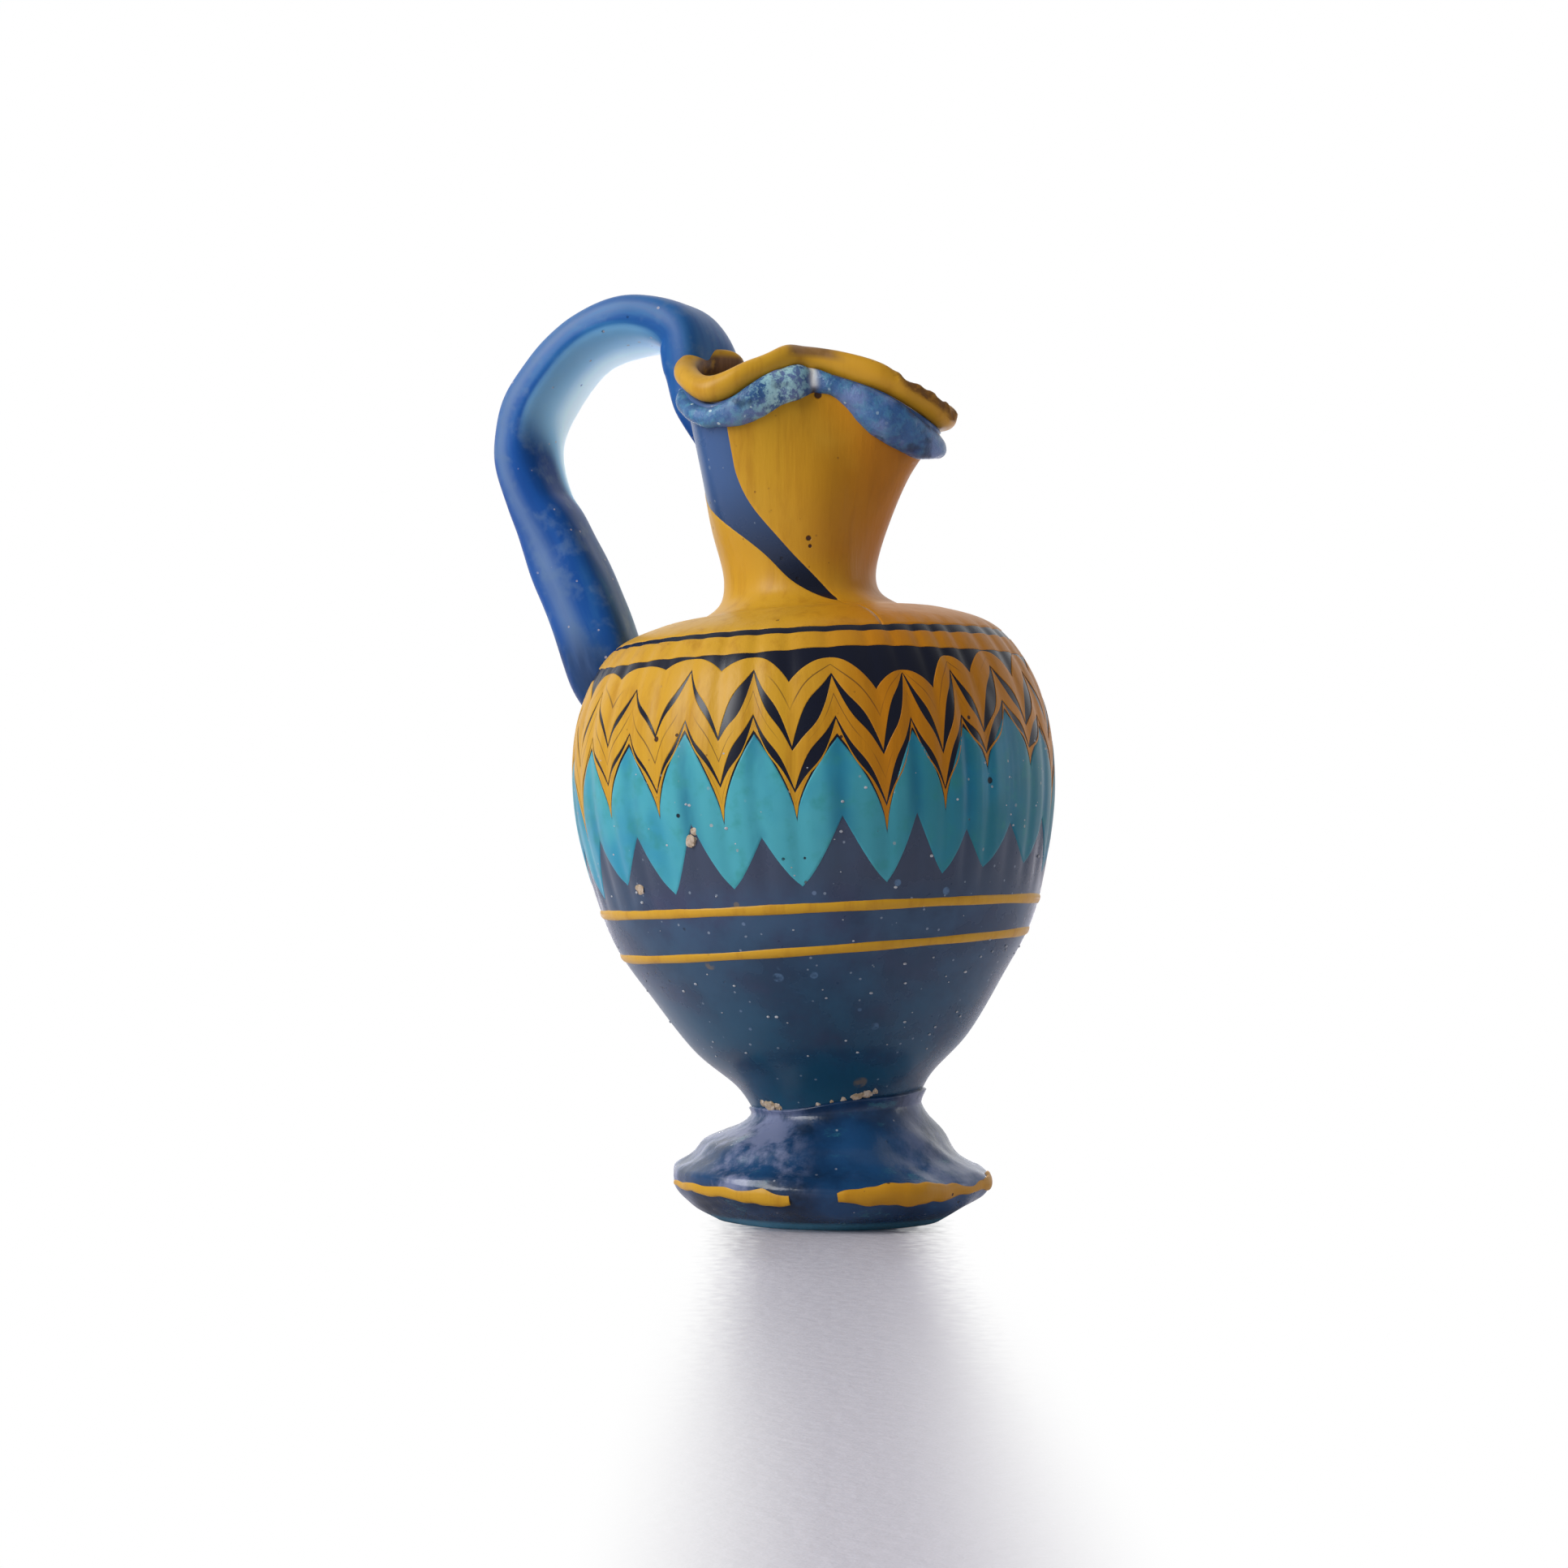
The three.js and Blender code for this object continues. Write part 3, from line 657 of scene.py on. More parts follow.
class Finish:
    """A material under construction."""

    def __init__(self, name):
        self.material = bpy.data.materials.new(name)
        self.material.use_nodes = True
        self.tree = self.material.node_tree
        self.surface = self.tree.nodes["Principled BSDF"]
        self.here = self.add("ShaderNodeTexCoord", output="Object")

    def add(self, kind, settings=None, inputs=(), output=0):
        """Adds a node, sets it up, and returns the value of one of its outputs.

        inputs are values or links, in a list by order or in a dictionary by name."""
        node = self.tree.nodes.new(kind)
        for key, value in (settings or {}).items():
            setattr(node, key, value)
        pairs = inputs.items() if isinstance(inputs, dict) else enumerate(inputs)
        for key, value in pairs:
            self.feed(node.inputs[key], value)
        return Value(self, node.outputs[output])

    def feed(self, socket, value):
        if isinstance(value, Value):
            self.tree.links.new(value.socket, socket)
            return
        if socket.type == "RGBA" and len(value) == 3:
            value = (*value, 1.0)
        socket.default_value = value

    def set(self, **values):
        for name, value in values.items():
            self.feed(self.surface.inputs[name.replace("_", " ")], value)

    def blend(self, low, high, share):
        """A colour between two colours."""
        node = self.tree.nodes.new("ShaderNodeMix")
        node.data_type = "RGBA"
        for socket, value in zip((node.inputs[0], node.inputs[6], node.inputs[7]), (share, low, high)):
            self.feed(socket, value)
        return Value(self, node.outputs[2])

    def layers(self, colour, **layers):
        """A colour with named layers laid over it in turn, each a colour and how much of it covers."""
        for over, cover in layers.values():
            colour = self.blend(colour, over, cover)
        return colour

    def noise(self, scale, detail=3.0, roughness=0.55, stretch=None, place=None):
        place = place or self.here
        if stretch is not None:
            place = self.add("ShaderNodeMapping", inputs={"Vector": place, "Scale": stretch})
        inputs = {"Vector": place, "Scale": scale, "Detail": detail, "Roughness": roughness}
        return self.add("ShaderNodeTexNoise", inputs=inputs)

    def spots(self, scale, radius):
        """Uneven spots scattered at random: 1 inside a spot. radius is a share of their spacing."""
        inputs = {"Vector": self.here, "Scale": scale, "Randomness": 1.0}
        distance = self.add("ShaderNodeTexVoronoi", inputs=inputs)
        return (distance + self.noise(scale * 3.0, 2.0) * radius * 1.2).over(radius * 1.6, radius * 1.3)

    def marks(self, places):
        """1 within round marks on the body, given by angle in degrees, height and size across."""
        found = 0.0
        for angle, height, size in places:
            across = size * MM
            inputs = [self.here, tuple(body_mark(angle, height))]
            distance = self.add("ShaderNodeVectorMath", {"operation": "DISTANCE"}, inputs, output="Value")
            found = distance.over(across * 0.6, across * 0.4) + found
        return found

    def shade(self, name, output="Fac"):
        return self.add("ShaderNodeAttribute", {"attribute_name": name}, output=output)

    def axis(self, letter):
        return self.add("ShaderNodeSeparateXYZ", inputs=[self.here], output=letter)

    def height(self):
        return self.axis("Z")

    def side(self):
        """The way across the jug, from the handle to the spout."""
        return self.axis("X")

    def bump(self, height, distance, strength=1.0, under=None):
        inputs = {"Height": height, "Distance": distance, "Strength": strength}
        if under is not None:
            inputs["Normal"] = under
        return self.add("ShaderNodeBump", inputs=inputs)


def glass_bumps(finish, pit_depth=0.00012, marks=()):
    """Slow ripples and small pits of old glass, with the mask of the pits."""
    ripple = finish.noise(160.0, 2.0)
    pits = finish.spots(520.0, 0.11) * finish.noise(90.0, 2.0).over(0.60, 0.68)
    big_pits = finish.spots(190.0, 0.05) * finish.noise(55.0, 1.0).over(0.58, 0.66)
    hollow = pits + big_pits
    if marks:
        hollow = hollow + finish.marks(marks)
    return finish.bump(ripple * 0.5 - hollow, pit_depth), hollow


def body_mark(angle, height):
    """A place on the body, in metres in the frame, from an angle in degrees and a height."""
    angle = np.radians(np.array([float(angle)]))
    return placed(wall_point(angle, place_at_height(angle, height), -MARK_RISE), BODY_PLACE)[0]


def cobalt_glass():
    """The body's blue: slate between the feathers, teal low down, near black on the shoulder."""
    finish = Finish("cobalt glass")
    height = finish.height()
    mottle = finish.noise(110.0, 5.0, 0.6)
    flow = finish.noise(130.0, 4.0, 0.6, stretch=(1.0, 1.0, 0.35))
    sandy = finish.noise(60.0, 2.0).over(0.5, 0.7) * height.over(0.022, 0.015) * height.over(0.012, 0.014)
    below_neck = 1.0 - height.over(0.050, 0.056) * height.over(0.082, 0.078)
    cloudy = finish.noise(700.0, 4.0).over(0.38, 0.58)
    normal, pits = glass_bumps(finish)
    core = finish.blend((0.16, 0.10, 0.055), (0.30, 0.21, 0.13), finish.noise(300.0, 4.0).over(0.3, 0.7))
    inside = finish.shade("inside")
    colour = finish.layers(
        tuple(colours().cobalt),
        violet=((0.048, 0.052, 0.115), finish.noise(48.0, 4.0, 0.6).over(0.42, 0.66) * 0.75),
        drawn=((0.012, 0.030, 0.072), flow.over(0.50, 0.70) * 0.55),
        slate=((0.040, 0.092, 0.170), mottle.over(0.40, 0.68) * 0.8),
        peaks=((0.044, 0.062, 0.100), height.over(0.036, 0.041) * 0.7),
        teal=((0.009, 0.075, 0.138), height.over(0.038, 0.018) * mottle.over(0.25, 0.6) * 0.85),
        brown=((0.060, 0.058, 0.050), sandy * 0.5),
        shoulder=((0.0040, 0.0060, 0.018), height.over(0.046, 0.050)),
        neck=((0.045, 0.105, 0.26), height.over(0.074, 0.089)),
        dust=((0.26, 0.31, 0.38), finish.spots(620.0, 0.11) * mottle.over(0.40, 0.50) * below_neck * 0.7),
        specks=((0.15, 0.22, 0.34), finish.spots(250.0, 0.09) * mottle.over(0.52, 0.60) * below_neck * 0.7),
        spots=((0.10, 0.19, 0.32), finish.marks(BLUE_SPOTS) * cloudy * 0.8),
        stains=((0.16, 0.13, 0.10), finish.marks(BROWN_SPOTS) * cloudy * 0.8),
        pits=((0.004, 0.005, 0.010), pits * 0.5),
        inside=(core, inside),
    )
    finish.set(
        Base_Color=colour,
        Roughness=0.20 + mottle * 0.16 + inside * 0.5,
        Specular_IOR_Level=0.32,
        Normal=normal,
    )
    return finish.material


def yellow_colour(finish, deepening):
    """Opaque yellow drawn out in streaks, with painted shade that deepens it towards the spout's side."""
    streaks = finish.noise(420.0, 4.0, 0.65, stretch=(1.0, 1.0, 0.07))
    clouds = finish.noise(70.0, 3.0)
    colour = finish.layers(
        tuple(colours().yellow),
        # Painted shade: the yellow deepens to orange towards the spout's side, away from the light.
        deep=((0.47, 0.155, 0.0010), finish.side().over(-0.009, 0.007) * deepening),
        warm=((0.34, 0.125, 0.004), streaks.over(0.48, 0.72) * 0.38),
        pale=((0.64, 0.38, 0.04), clouds.over(0.52, 0.8) * 0.35),
        specks=((0.18, 0.06, 0.01), finish.spots(600.0, 0.09) * clouds.over(0.50, 0.62) * 0.6),
    )
    return colour, streaks, clouds


def yellow_glass(name, combed=False, marks=(), deepening=0.85):
    finish = Finish(name)
    colour, streaks, clouds = yellow_colour(finish, deepening)
    if combed:
        across = finish.shade("across")
        hair = across.over(0.49, 0.53) * across.over(0.57, 0.53) * clouds.over(0.42, 0.58)
        edge = across.over(0.035, 0.0) + across.over(0.965, 1.0)
        colour = finish.blend(colour, (0.06, 0.025, 0.015), hair * 0.85 + edge * 0.7)
    normal, pits = glass_bumps(finish, marks=marks)
    finish.set(
        Base_Color=finish.blend(colour, (0.06, 0.025, 0.012), pits),
        Roughness=0.30 + streaks * 0.16,
        Specular_IOR_Level=0.22,
        Normal=finish.bump(streaks, 0.0002, 0.5, under=normal),
    )
    return finish.material


def lip_glass():
    """The yellow of the lip, brown on its inner side and where it is chipped, with painted shade beside the
    pinch.
    """
    finish = Finish("lip yellow")
    colour, streaks, clouds = yellow_colour(finish, 0.2)
    flakes = finish.noise(520.0, 4.0, 0.6)
    # One attribute holds the brown of the inner side and the painted shade beside the pinch.
    worn = finish.shade("worn") * flakes.over(0.15, 0.45)
    chipped = finish.shade("chipped") * flakes.over(0.30, 0.48)
    brown = finish.blend((0.12, 0.058, 0.030), (0.25, 0.135, 0.070), streaks.over(0.4, 0.7))
    rust = finish.blend((0.12, 0.045, 0.010), (0.34, 0.15, 0.02), flakes.over(0.5, 0.7))
    normal, pits = glass_bumps(finish, 0.0002)
    colour = finish.layers(
        colour,
        worn=(brown, worn),
        chipped=(rust, chipped * 0.9),
        pits=((0.05, 0.03, 0.02), pits),
    )
    finish.set(
        Base_Color=colour,
        Roughness=0.30 + clouds * 0.2 + chipped * 0.3,
        Specular_IOR_Level=0.25,
        Normal=finish.bump(chipped * flakes, 0.0003, under=normal),
    )
    return finish.material


def turquoise_glass():
    """Turquoise drawn down in lobes, darker between them, with painted shade towards the spout."""
    finish = Finish("turquoise glass")
    stroke = finish.shade("stroke")
    clouds = finish.noise(120.0, 4.0, 0.6, stretch=(1.0, 1.0, 0.4))
    fine = finish.noise(420.0, 3.0)
    normal, pits = glass_bumps(finish, marks=TURQUOISE_PITS)
    colour = finish.layers(
        tuple(colours().turquoise),
        # Painted shade: the turquoise darkens towards the spout's side, away from the light.
        shaded=((0.006, 0.135, 0.195), finish.side().over(-0.006, 0.022) * 0.9),
        deep=((0.010, 0.15, 0.25), stroke.over(0.50, 1.0) * clouds.over(0.3, 0.6) * 0.8),
        pale=((0.12, 0.44, 0.50), clouds.over(0.50, 0.80) * stroke.over(0.9, 0.2) * 0.5),
        blue=((0.010, 0.22, 0.40), finish.noise(65.0, 3.0).over(0.46, 0.66) * 0.6),
        green=((0.030, 0.25, 0.20), fine.over(0.48, 0.75) * 0.45),
        dust=((0.42, 0.40, 0.38), finish.spots(520.0, 0.11) * clouds.over(0.42, 0.56) * 0.7),
        pits=((0.010, 0.020, 0.030), pits),
    )
    finish.set(
        Base_Color=colour,
        Roughness=0.26 + fine * 0.16,
        Specular_IOR_Level=0.20,
        Normal=normal,
    )
    return finish.material


def handle_glass():
    """Blue glass with a painted highlight on its ridge, and painted light and glow on the arch's inner face,
    standing in for light through the thin strap.
    """
    finish = Finish("handle blue")
    streaks = finish.noise(170.0, 4.0, 0.6, place=finish.shade("lengthwise", "Vector"))
    grain = finish.noise(420.0, 3.0)
    height = finish.height()
    thin = finish.shade("thin")
    normal, pits = glass_bumps(finish, 0.00009)
    colour = finish.layers(
        tuple(colours().blue),
        deep=((0.006, 0.042, 0.19), streaks.over(0.50, 0.34) * 0.35),
        milky=((0.035, 0.160, 0.40), streaks.over(0.46, 0.66) * 0.8),
        # Painted highlight: a pale lavender sheen along the strap's ridge.
        rubbed=((0.15, 0.24, 0.42), finish.shade("ridge") * streaks.over(0.18, 0.52) * 0.7),
        frosted=((0.12, 0.21, 0.36), grain.over(0.48, 0.72) * 0.45),
        arch=((0.045, 0.22, 0.46), height.over(0.094, 0.106) * streaks.over(0.55, 0.40) * 0.7),
        root=((0.010, 0.030, 0.10), height.over(0.072, 0.066) * streaks.over(0.35, 0.60) * 0.8),
        # Painted light: the inner face of the arch turns pale, as if lit through the glass.
        milk=((0.20, 0.50, 0.80), thin.over(0.05, 0.50) * 0.9),
        pale=((0.70, 0.92, 1.0), thin.over(0.45, 1.0) * 0.95),
        pits=((0.008, 0.020, 0.07), pits * 0.7),
        specks=((0.42, 0.40, 0.46), finish.spots(520.0, 0.10) * grain.over(0.44, 0.54) * 0.8),
    )
    finish.set(
        Base_Color=colour,
        Roughness=0.27 + grain * 0.14,
        Specular_IOR_Level=0.12,
        # Painted glow: the inner face gives off light of its own.
        Emission_Color=finish.blend((0.0, 0.0, 0.0), (0.16, 0.26, 0.34), thin.over(0.1, 1.0)),
        Emission_Strength=0.8,
        Normal=normal,
    )
    return finish.material


def coil_glass():
    """Slate-blue glass full of pale and dark flecks, pinched in beside the spout, with painted glints on its
    lit left side and a painted glare and painted shade at the pinch.
    """
    finish = Finish("coil blue")
    clouds = finish.noise(150.0, 4.0, 0.6)
    grain = finish.noise(900.0, 5.0, 0.7)
    # 1 on the left side, where the light falls; it paints light into the cyan grain and the glints.
    left = finish.side().over(0.012, -0.004)
    pale = finish.shade("pale")
    normal, pits = glass_bumps(finish, 0.0002)
    colour = finish.layers(
        (0.026, 0.092, 0.25),
        slate=((0.050, 0.155, 0.35), clouds.over(0.35, 0.65)),
        violet=((0.16, 0.22, 0.44), finish.noise(210.0, 4.0).over(0.46, 0.62) * 0.7),
        cyan=((0.10, 0.37, 0.47), grain.over(0.44, 0.62) * (0.15 + left * 0.25 + pale * 0.6)),
        milky=((0.46, 0.72, 0.76), pale * grain.over(0.45, 0.58) * 0.85),
        dark=((0.014, 0.040, 0.10), finish.noise(310.0, 3.0).over(0.57, 0.68) * 0.75),
        # Painted highlights: pale glints, only on the lit left side.
        glints=((0.55, 0.72, 0.76), finish.spots(800.0, 0.19) * clouds.over(0.40, 0.50) * left * 0.8),
        # Painted highlight: a white glare on the upper part of the pinch; below it, painted shade in the
        # notch.
        glare=((0.85, 0.88, 0.88), finish.shade("glint")),
        notch=((0.030, 0.018, 0.012), finish.shade("notch")),
        pits=((0.006, 0.012, 0.03), pits),
    )
    finish.set(
        Base_Color=colour,
        Roughness=0.16 + grain * 0.16,
        Specular_IOR_Level=0.45,
        Normal=finish.bump(grain, 0.0004, 0.6, under=normal),
    )
    return finish.material


def foot_glass():
    """Dark blue glass of the foot, with wisps of lighter glass drawn through it, and a painted sheen on its
    flanks.
    """
    finish = Finish("foot glass")
    height = finish.height()
    side = finish.side()
    folds = finish.noise(95.0, 5.0, 0.6)
    wisps = finish.noise(150.0, 6.0, 0.66, stretch=(1.0, 1.0, 2.6))
    # Painted sheen: pale lavender clouds on the flanks, strongest on the lit left side, standing in for
    # glare.
    haze = finish.noise(190.0, 5.0, 0.66, stretch=(1.0, 1.0, 0.6)).over(0.42, 0.60)
    above_edge = height.over(0.0035, 0.005)
    flanks = side.over(-0.001, -0.008) * 1.4 + side.over(0.005, 0.011) * 0.8
    normal, pits = glass_bumps(finish, 0.0002)
    colour = finish.layers(
        (0.007, 0.033, 0.094),
        folds=((0.013, 0.062, 0.165), folds.over(0.40, 0.62)),
        wisps=((0.025, 0.15, 0.21), wisps.over(0.56, 0.72) * 0.75),
        haze=((0.20, 0.23, 0.37), haze * above_edge * flanks * 0.65),
        dark=((0.003, 0.010, 0.026), folds.over(0.44, 0.32) * 0.7),
        base=((0.10, 0.40, 0.58), height.over(0.0012, 0.0005) * 0.9),
        dust=((0.34, 0.36, 0.42), finish.spots(520.0, 0.10) * wisps.over(0.45, 0.55) * 0.7),
        pits=((0.004, 0.008, 0.02), pits),
    )
    finish.set(
        Base_Color=colour,
        Roughness=0.16 + wisps * 0.18,
        Specular_IOR_Level=0.42,
        Normal=finish.bump(folds, 0.0006, 0.6, under=normal),
    )
    return finish.material


def grain_finish(name, low, high):
    """Dull mineral grains, mottled between two colours."""
    finish = Finish(name)
    grain = finish.noise(1500.0, 5.0, 0.7)
    finish.set(
        Base_Color=finish.blend(low, high, grain.over(0.35, 0.7)),
        Roughness=0.8,
        Normal=finish.bump(grain, 0.0003),
    )
    return finish.material


# Geometry Nodes


class Tree:
    """A Geometry Nodes tree under construction, with named inputs for its sizes."""

    def __init__(self, name, numbers):
        self.tree = bpy.data.node_groups.new(name, "GeometryNodeTree")
        self.tree.interface.new_socket("Geometry", in_out="INPUT", socket_type="NodeSocketGeometry")
        self.tree.interface.new_socket("Geometry", in_out="OUTPUT", socket_type="NodeSocketGeometry")
        self.inputs = {}
        for label, (kind, default) in numbers.items():
            socket = self.tree.interface.new_socket(label, in_out="INPUT", socket_type=kind)
            socket.default_value = default
            self.inputs[label] = socket.identifier
        self.entry = self.tree.nodes.new("NodeGroupInput")

    def node(self, kind, settings=None, inputs=None):
        """Adds a node and gives its inputs, by name or number, values or links."""
        node = self.tree.nodes.new(kind)
        for key, value in (settings or {}).items():
            setattr(node, key, value)
        for key, value in (inputs or {}).items():
            if isinstance(value, bpy.types.NodeSocket):
                self.tree.links.new(value, node.inputs[key])
            else:
                node.inputs[key].default_value = value
        return node

    def add(self, kind, settings=None, inputs=None):
        return self.node(kind, settings, inputs).outputs[0]

    def given(self, label):
        return self.entry.outputs[label]

    def attribute(self, name, kind="FLOAT"):
        return self.add("GeometryNodeInputNamedAttribute", {"data_type": kind}, {"Name": name})

    def finish(self, geometry, material):
        real = self.add("GeometryNodeRealizeInstances", inputs={"Geometry": geometry})
        painted = self.add("GeometryNodeSetMaterial", inputs={"Geometry": real, "Material": material})
        end = self.tree.nodes.new("NodeGroupOutput")
        self.tree.links.new(painted, end.inputs[0])


def run_tree(tree, source, values, name):
    """The plain mesh that a tree makes from a source object, which is then removed."""
    modifier = source.modifiers.new("Make", "NODES")
    modifier.node_group = tree.tree
    for label, value in values.items():
        modifier[tree.inputs[label]] = value
    graph = bpy.context.evaluated_depsgraph_get()
    mesh = bpy.data.meshes.new_from_object(source.evaluated_get(graph))
    mesh.name = name
    source.modifiers.clear()
    bpy.data.objects.remove(source, do_unlink=True)
    return new_object(name, mesh)


def trail_tree(material):
    """Sweeps an oval of glass along a path whose points hold their outward way and their girth."""
    numbers = {
        "Width": ("NodeSocketFloat", 0.001),
        "Thickness": ("NodeSocketFloat", 0.001),
        "Sides": ("NodeSocketInt", 20),
    }
    tree = Tree("trail along a path", numbers)
    curve = tree.add("GeometryNodeMeshToCurve", inputs={"Mesh": tree.given("Geometry")})
    outward = tree.attribute("outward", "FLOAT_VECTOR")
    turned = tree.add("GeometryNodeSetCurveNormal", {"mode": "FREE"}, {"Curve": curve, "Normal": outward})
    round_sizes = {"Resolution": tree.given("Sides"), "Radius": 0.5}
    circle = tree.add("GeometryNodeCurvePrimitiveCircle", inputs=round_sizes)
    axes = {"X": tree.given("Thickness"), "Y": tree.given("Width"), "Z": 1.0}
    scale = tree.add("ShaderNodeCombineXYZ", inputs=axes)
    oval = tree.add("GeometryNodeTransform", inputs={"Geometry": circle, "Scale": scale})
    parts = {"Curve": turned, "Profile Curve": oval, "Scale": tree.attribute("girth"), "Fill Caps": True}
    swept = tree.add("GeometryNodeCurveToMesh", inputs=parts)
    tree.finish(tree.add("GeometryNodeSetShadeSmooth", inputs={"Geometry": swept}), material)
    return tree


def sweep_trail(tree, name, path, girth, width, thickness, node, place=BODY_PLACE):
    """Runs the trail tree along a path of points in millimetres."""
    points, outward = path
    edges = [(i, i + 1) for i in range(len(points) - 1)]
    mesh = new_mesh(name + "-path", points, place, edges=edges)
    hold(mesh, "outward", outward @ np.array(place.to_3x3()).T)
    hold(mesh, "girth", girth)
    source = new_object(name + "-path", mesh)
    piece = run_tree(tree, source, {"Width": width * MM, "Thickness": thickness * MM}, name)
    settle(piece, [node])


def grain_tree(material):
    """Scatters small flattened grains over a surface, half sunk in it."""
    numbers = {
        "Density": ("NodeSocketFloat", 20000.0),
        "Smallest": ("NodeSocketFloat", 0.00006),
        "Largest": ("NodeSocketFloat", 0.00024),
        "Seed": ("NodeSocketInt", 4),
    }
    tree = Tree("scattered grains", numbers)
    ground = {"Mesh": tree.given("Geometry"), "Density": tree.given("Density"), "Seed": tree.given("Seed")}
    spread = tree.node("GeometryNodeDistributePointsOnFaces", inputs=ground)
    grain = tree.add("GeometryNodeMeshIcoSphere", inputs={"Radius": 1.0, "Subdivisions": 2})
    flat = tree.add("GeometryNodeTransform", inputs={"Geometry": grain, "Scale": (1.0, 0.75, 0.45)})
    limits = {2: tree.given("Smallest"), 3: tree.given("Largest"), "Seed": tree.given("Seed")}
    size = tree.node("FunctionNodeRandomValue", {"data_type": "FLOAT"}, limits).outputs[1]
    parts = {
        "Points": spread.outputs["Points"],
        "Instance": flat,
        "Rotation": spread.outputs["Rotation"],
        "Scale": size,
    }
    tree.finish(tree.add("GeometryNodeInstanceOnPoints", inputs=parts), material)
    return tree


# Pieces


def build_body():
    """The cobalt wall, outside and in, from the foot joint to the rim."""
    angle = comb_columns(8)["angle"]
    top = place_below_rim(angle, LIP_THICKNESS / 2)
    floor = place_at_height(angle, FLOOR_HEIGHT + 2)
    outer = wall_point(angle, np.linspace(0, 1, BODY_ROWS)[:, None] * top, 0.0)
    inner = wall_point(angle, mix(top, floor, np.linspace(0, 1, INSIDE_ROWS)[:, None]), sizes().wall / MM)
    loops = np.concatenate((outer, inner))
    points, faces = capped(loops, (0, 0, loops[0, :, 2].mean()), (0, 0, FLOOR_HEIGHT))
    inside = np.repeat([0.0, 1.0], [outer[..., 0].size, inner[..., 0].size])
    shades = {"inside": np.append(inside, [0.0, 1.0])}
    make_piece("body-glass", points, faces, cobalt_glass(), ["body"], shades=shades)


def slit_at(height):
    """Middle and half width, in radians, of the bare glass at heights of the neck."""
    angle, level, half = spline(NECK_SLIT[::-1], np.linspace(0, 1, 200))
    middle = np.radians(np.interp(height, level, angle))
    return middle, np.radians(np.interp(height, level, half, left=0.0))


def wrap_place(angle, share):
    """Places on the neck wrap, whose upper edge follows the coil on the rim."""
    ring = np.linspace(0, TURN, 361)
    top = np.interp(np.mod(angle, TURN), ring, place_below_rim(ring, COIL_TOP + rim_at(ring)[2] / 2))
    return mix(place_at_height(angle, NECK_WRAP_LOW - WRAP_FALL * np.sin(angle)), top, share)


def slit_edge(share, sign):
    """The angle of one edge of the slit in each row of the neck wrap, and the slit's half width."""
    angle = np.zeros_like(share)
    for _ in range(6):
        middle, half = slit_at(outline(angle, wrap_place(angle, share))[1])
        angle = middle + sign * half
    return angle, half


def build_neck_wrap(yellow):
    """The yellow trail around the neck, open along its slit."""
    edge, side_edge = 0.01, 0.006
    share = edge_shares(NECK_ROWS, edge)[:, None]
    left, half = slit_edge(share, -1)
    right, _ = slit_edge(share, 1)
    across = edge_shares(NECK_COLUMNS, side_edge)[None, :]
    angle = mix(right, left + TURN, across)
    place = wrap_place(angle, share)
    side_roll = smooth(half / math.radians(2)) * edge_roll(across, side_edge)
    roll = np.maximum(edge_roll(share, edge), side_roll)
    outer = wall_point(angle, place, TRAIL_ROLL * roll - TRAIL_RISE)
    inner = wall_point(angle, place, sizes().inlay / MM)[:, ::-1]
    rows, columns = outer.shape[:2]
    points = np.concatenate((outer, inner), axis=1)
    column = np.arange(columns - 1)
    mirrored = 2 * columns - 1 - column
    low_end = np.stack((column + 1, column, mirrored, mirrored - 1), axis=-1)
    high_end = low_end[:, ::-1] + (rows - 1) * 2 * columns
    faces = [ring_quads(rows, 2 * columns), low_end, high_end]
    wrap = make_piece("neck-wrap", points, faces, yellow, ["neck_wrap"])
    for row in range(rows - 1):
        for wall in (columns - 1, 2 * columns - 1):
            wrap.data.polygons[row * 2 * columns + wall].use_smooth = False


def build_shoulder_ring(yellow):
    """One turn of the yellow trail above the feathers."""
    angle = comb_columns(STROKE_COLUMNS)["angle"]
    wobble = 0.20 * np.sin(3 * angle + 0.6) + 0.10 * np.sin(7 * angle)
    fall = RING_FALL * np.sin(angle)
    low = place_at_height(angle, SHOULDER_RING[0] + wobble - fall)
    high = place_at_height(angle, SHOULDER_RING[1] + 0.3 * wobble - fall)
    trail_shell("shoulder-ring", angle, low, high, 8, yellow, ["shoulder_ring"])


def bare_line(comb, share):
    """Height of the dark glass between two yellow trails.

    It is wide on rising legs, and a hair where the comb was light."""
    degrees = np.degrees(comb["angle"])
    strength = 0.22 + 0.78 * smooth((degrees + 36) / 24) * smooth((230 - degrees) / 60)
    lens = np.sin(math.pi * comb["share"]) ** 0.9
    side = np.where(comb["leg"] > 0, 1.0, 0.55)
    return HAIRLINE + share * sizes().line / MM * strength * lens * side


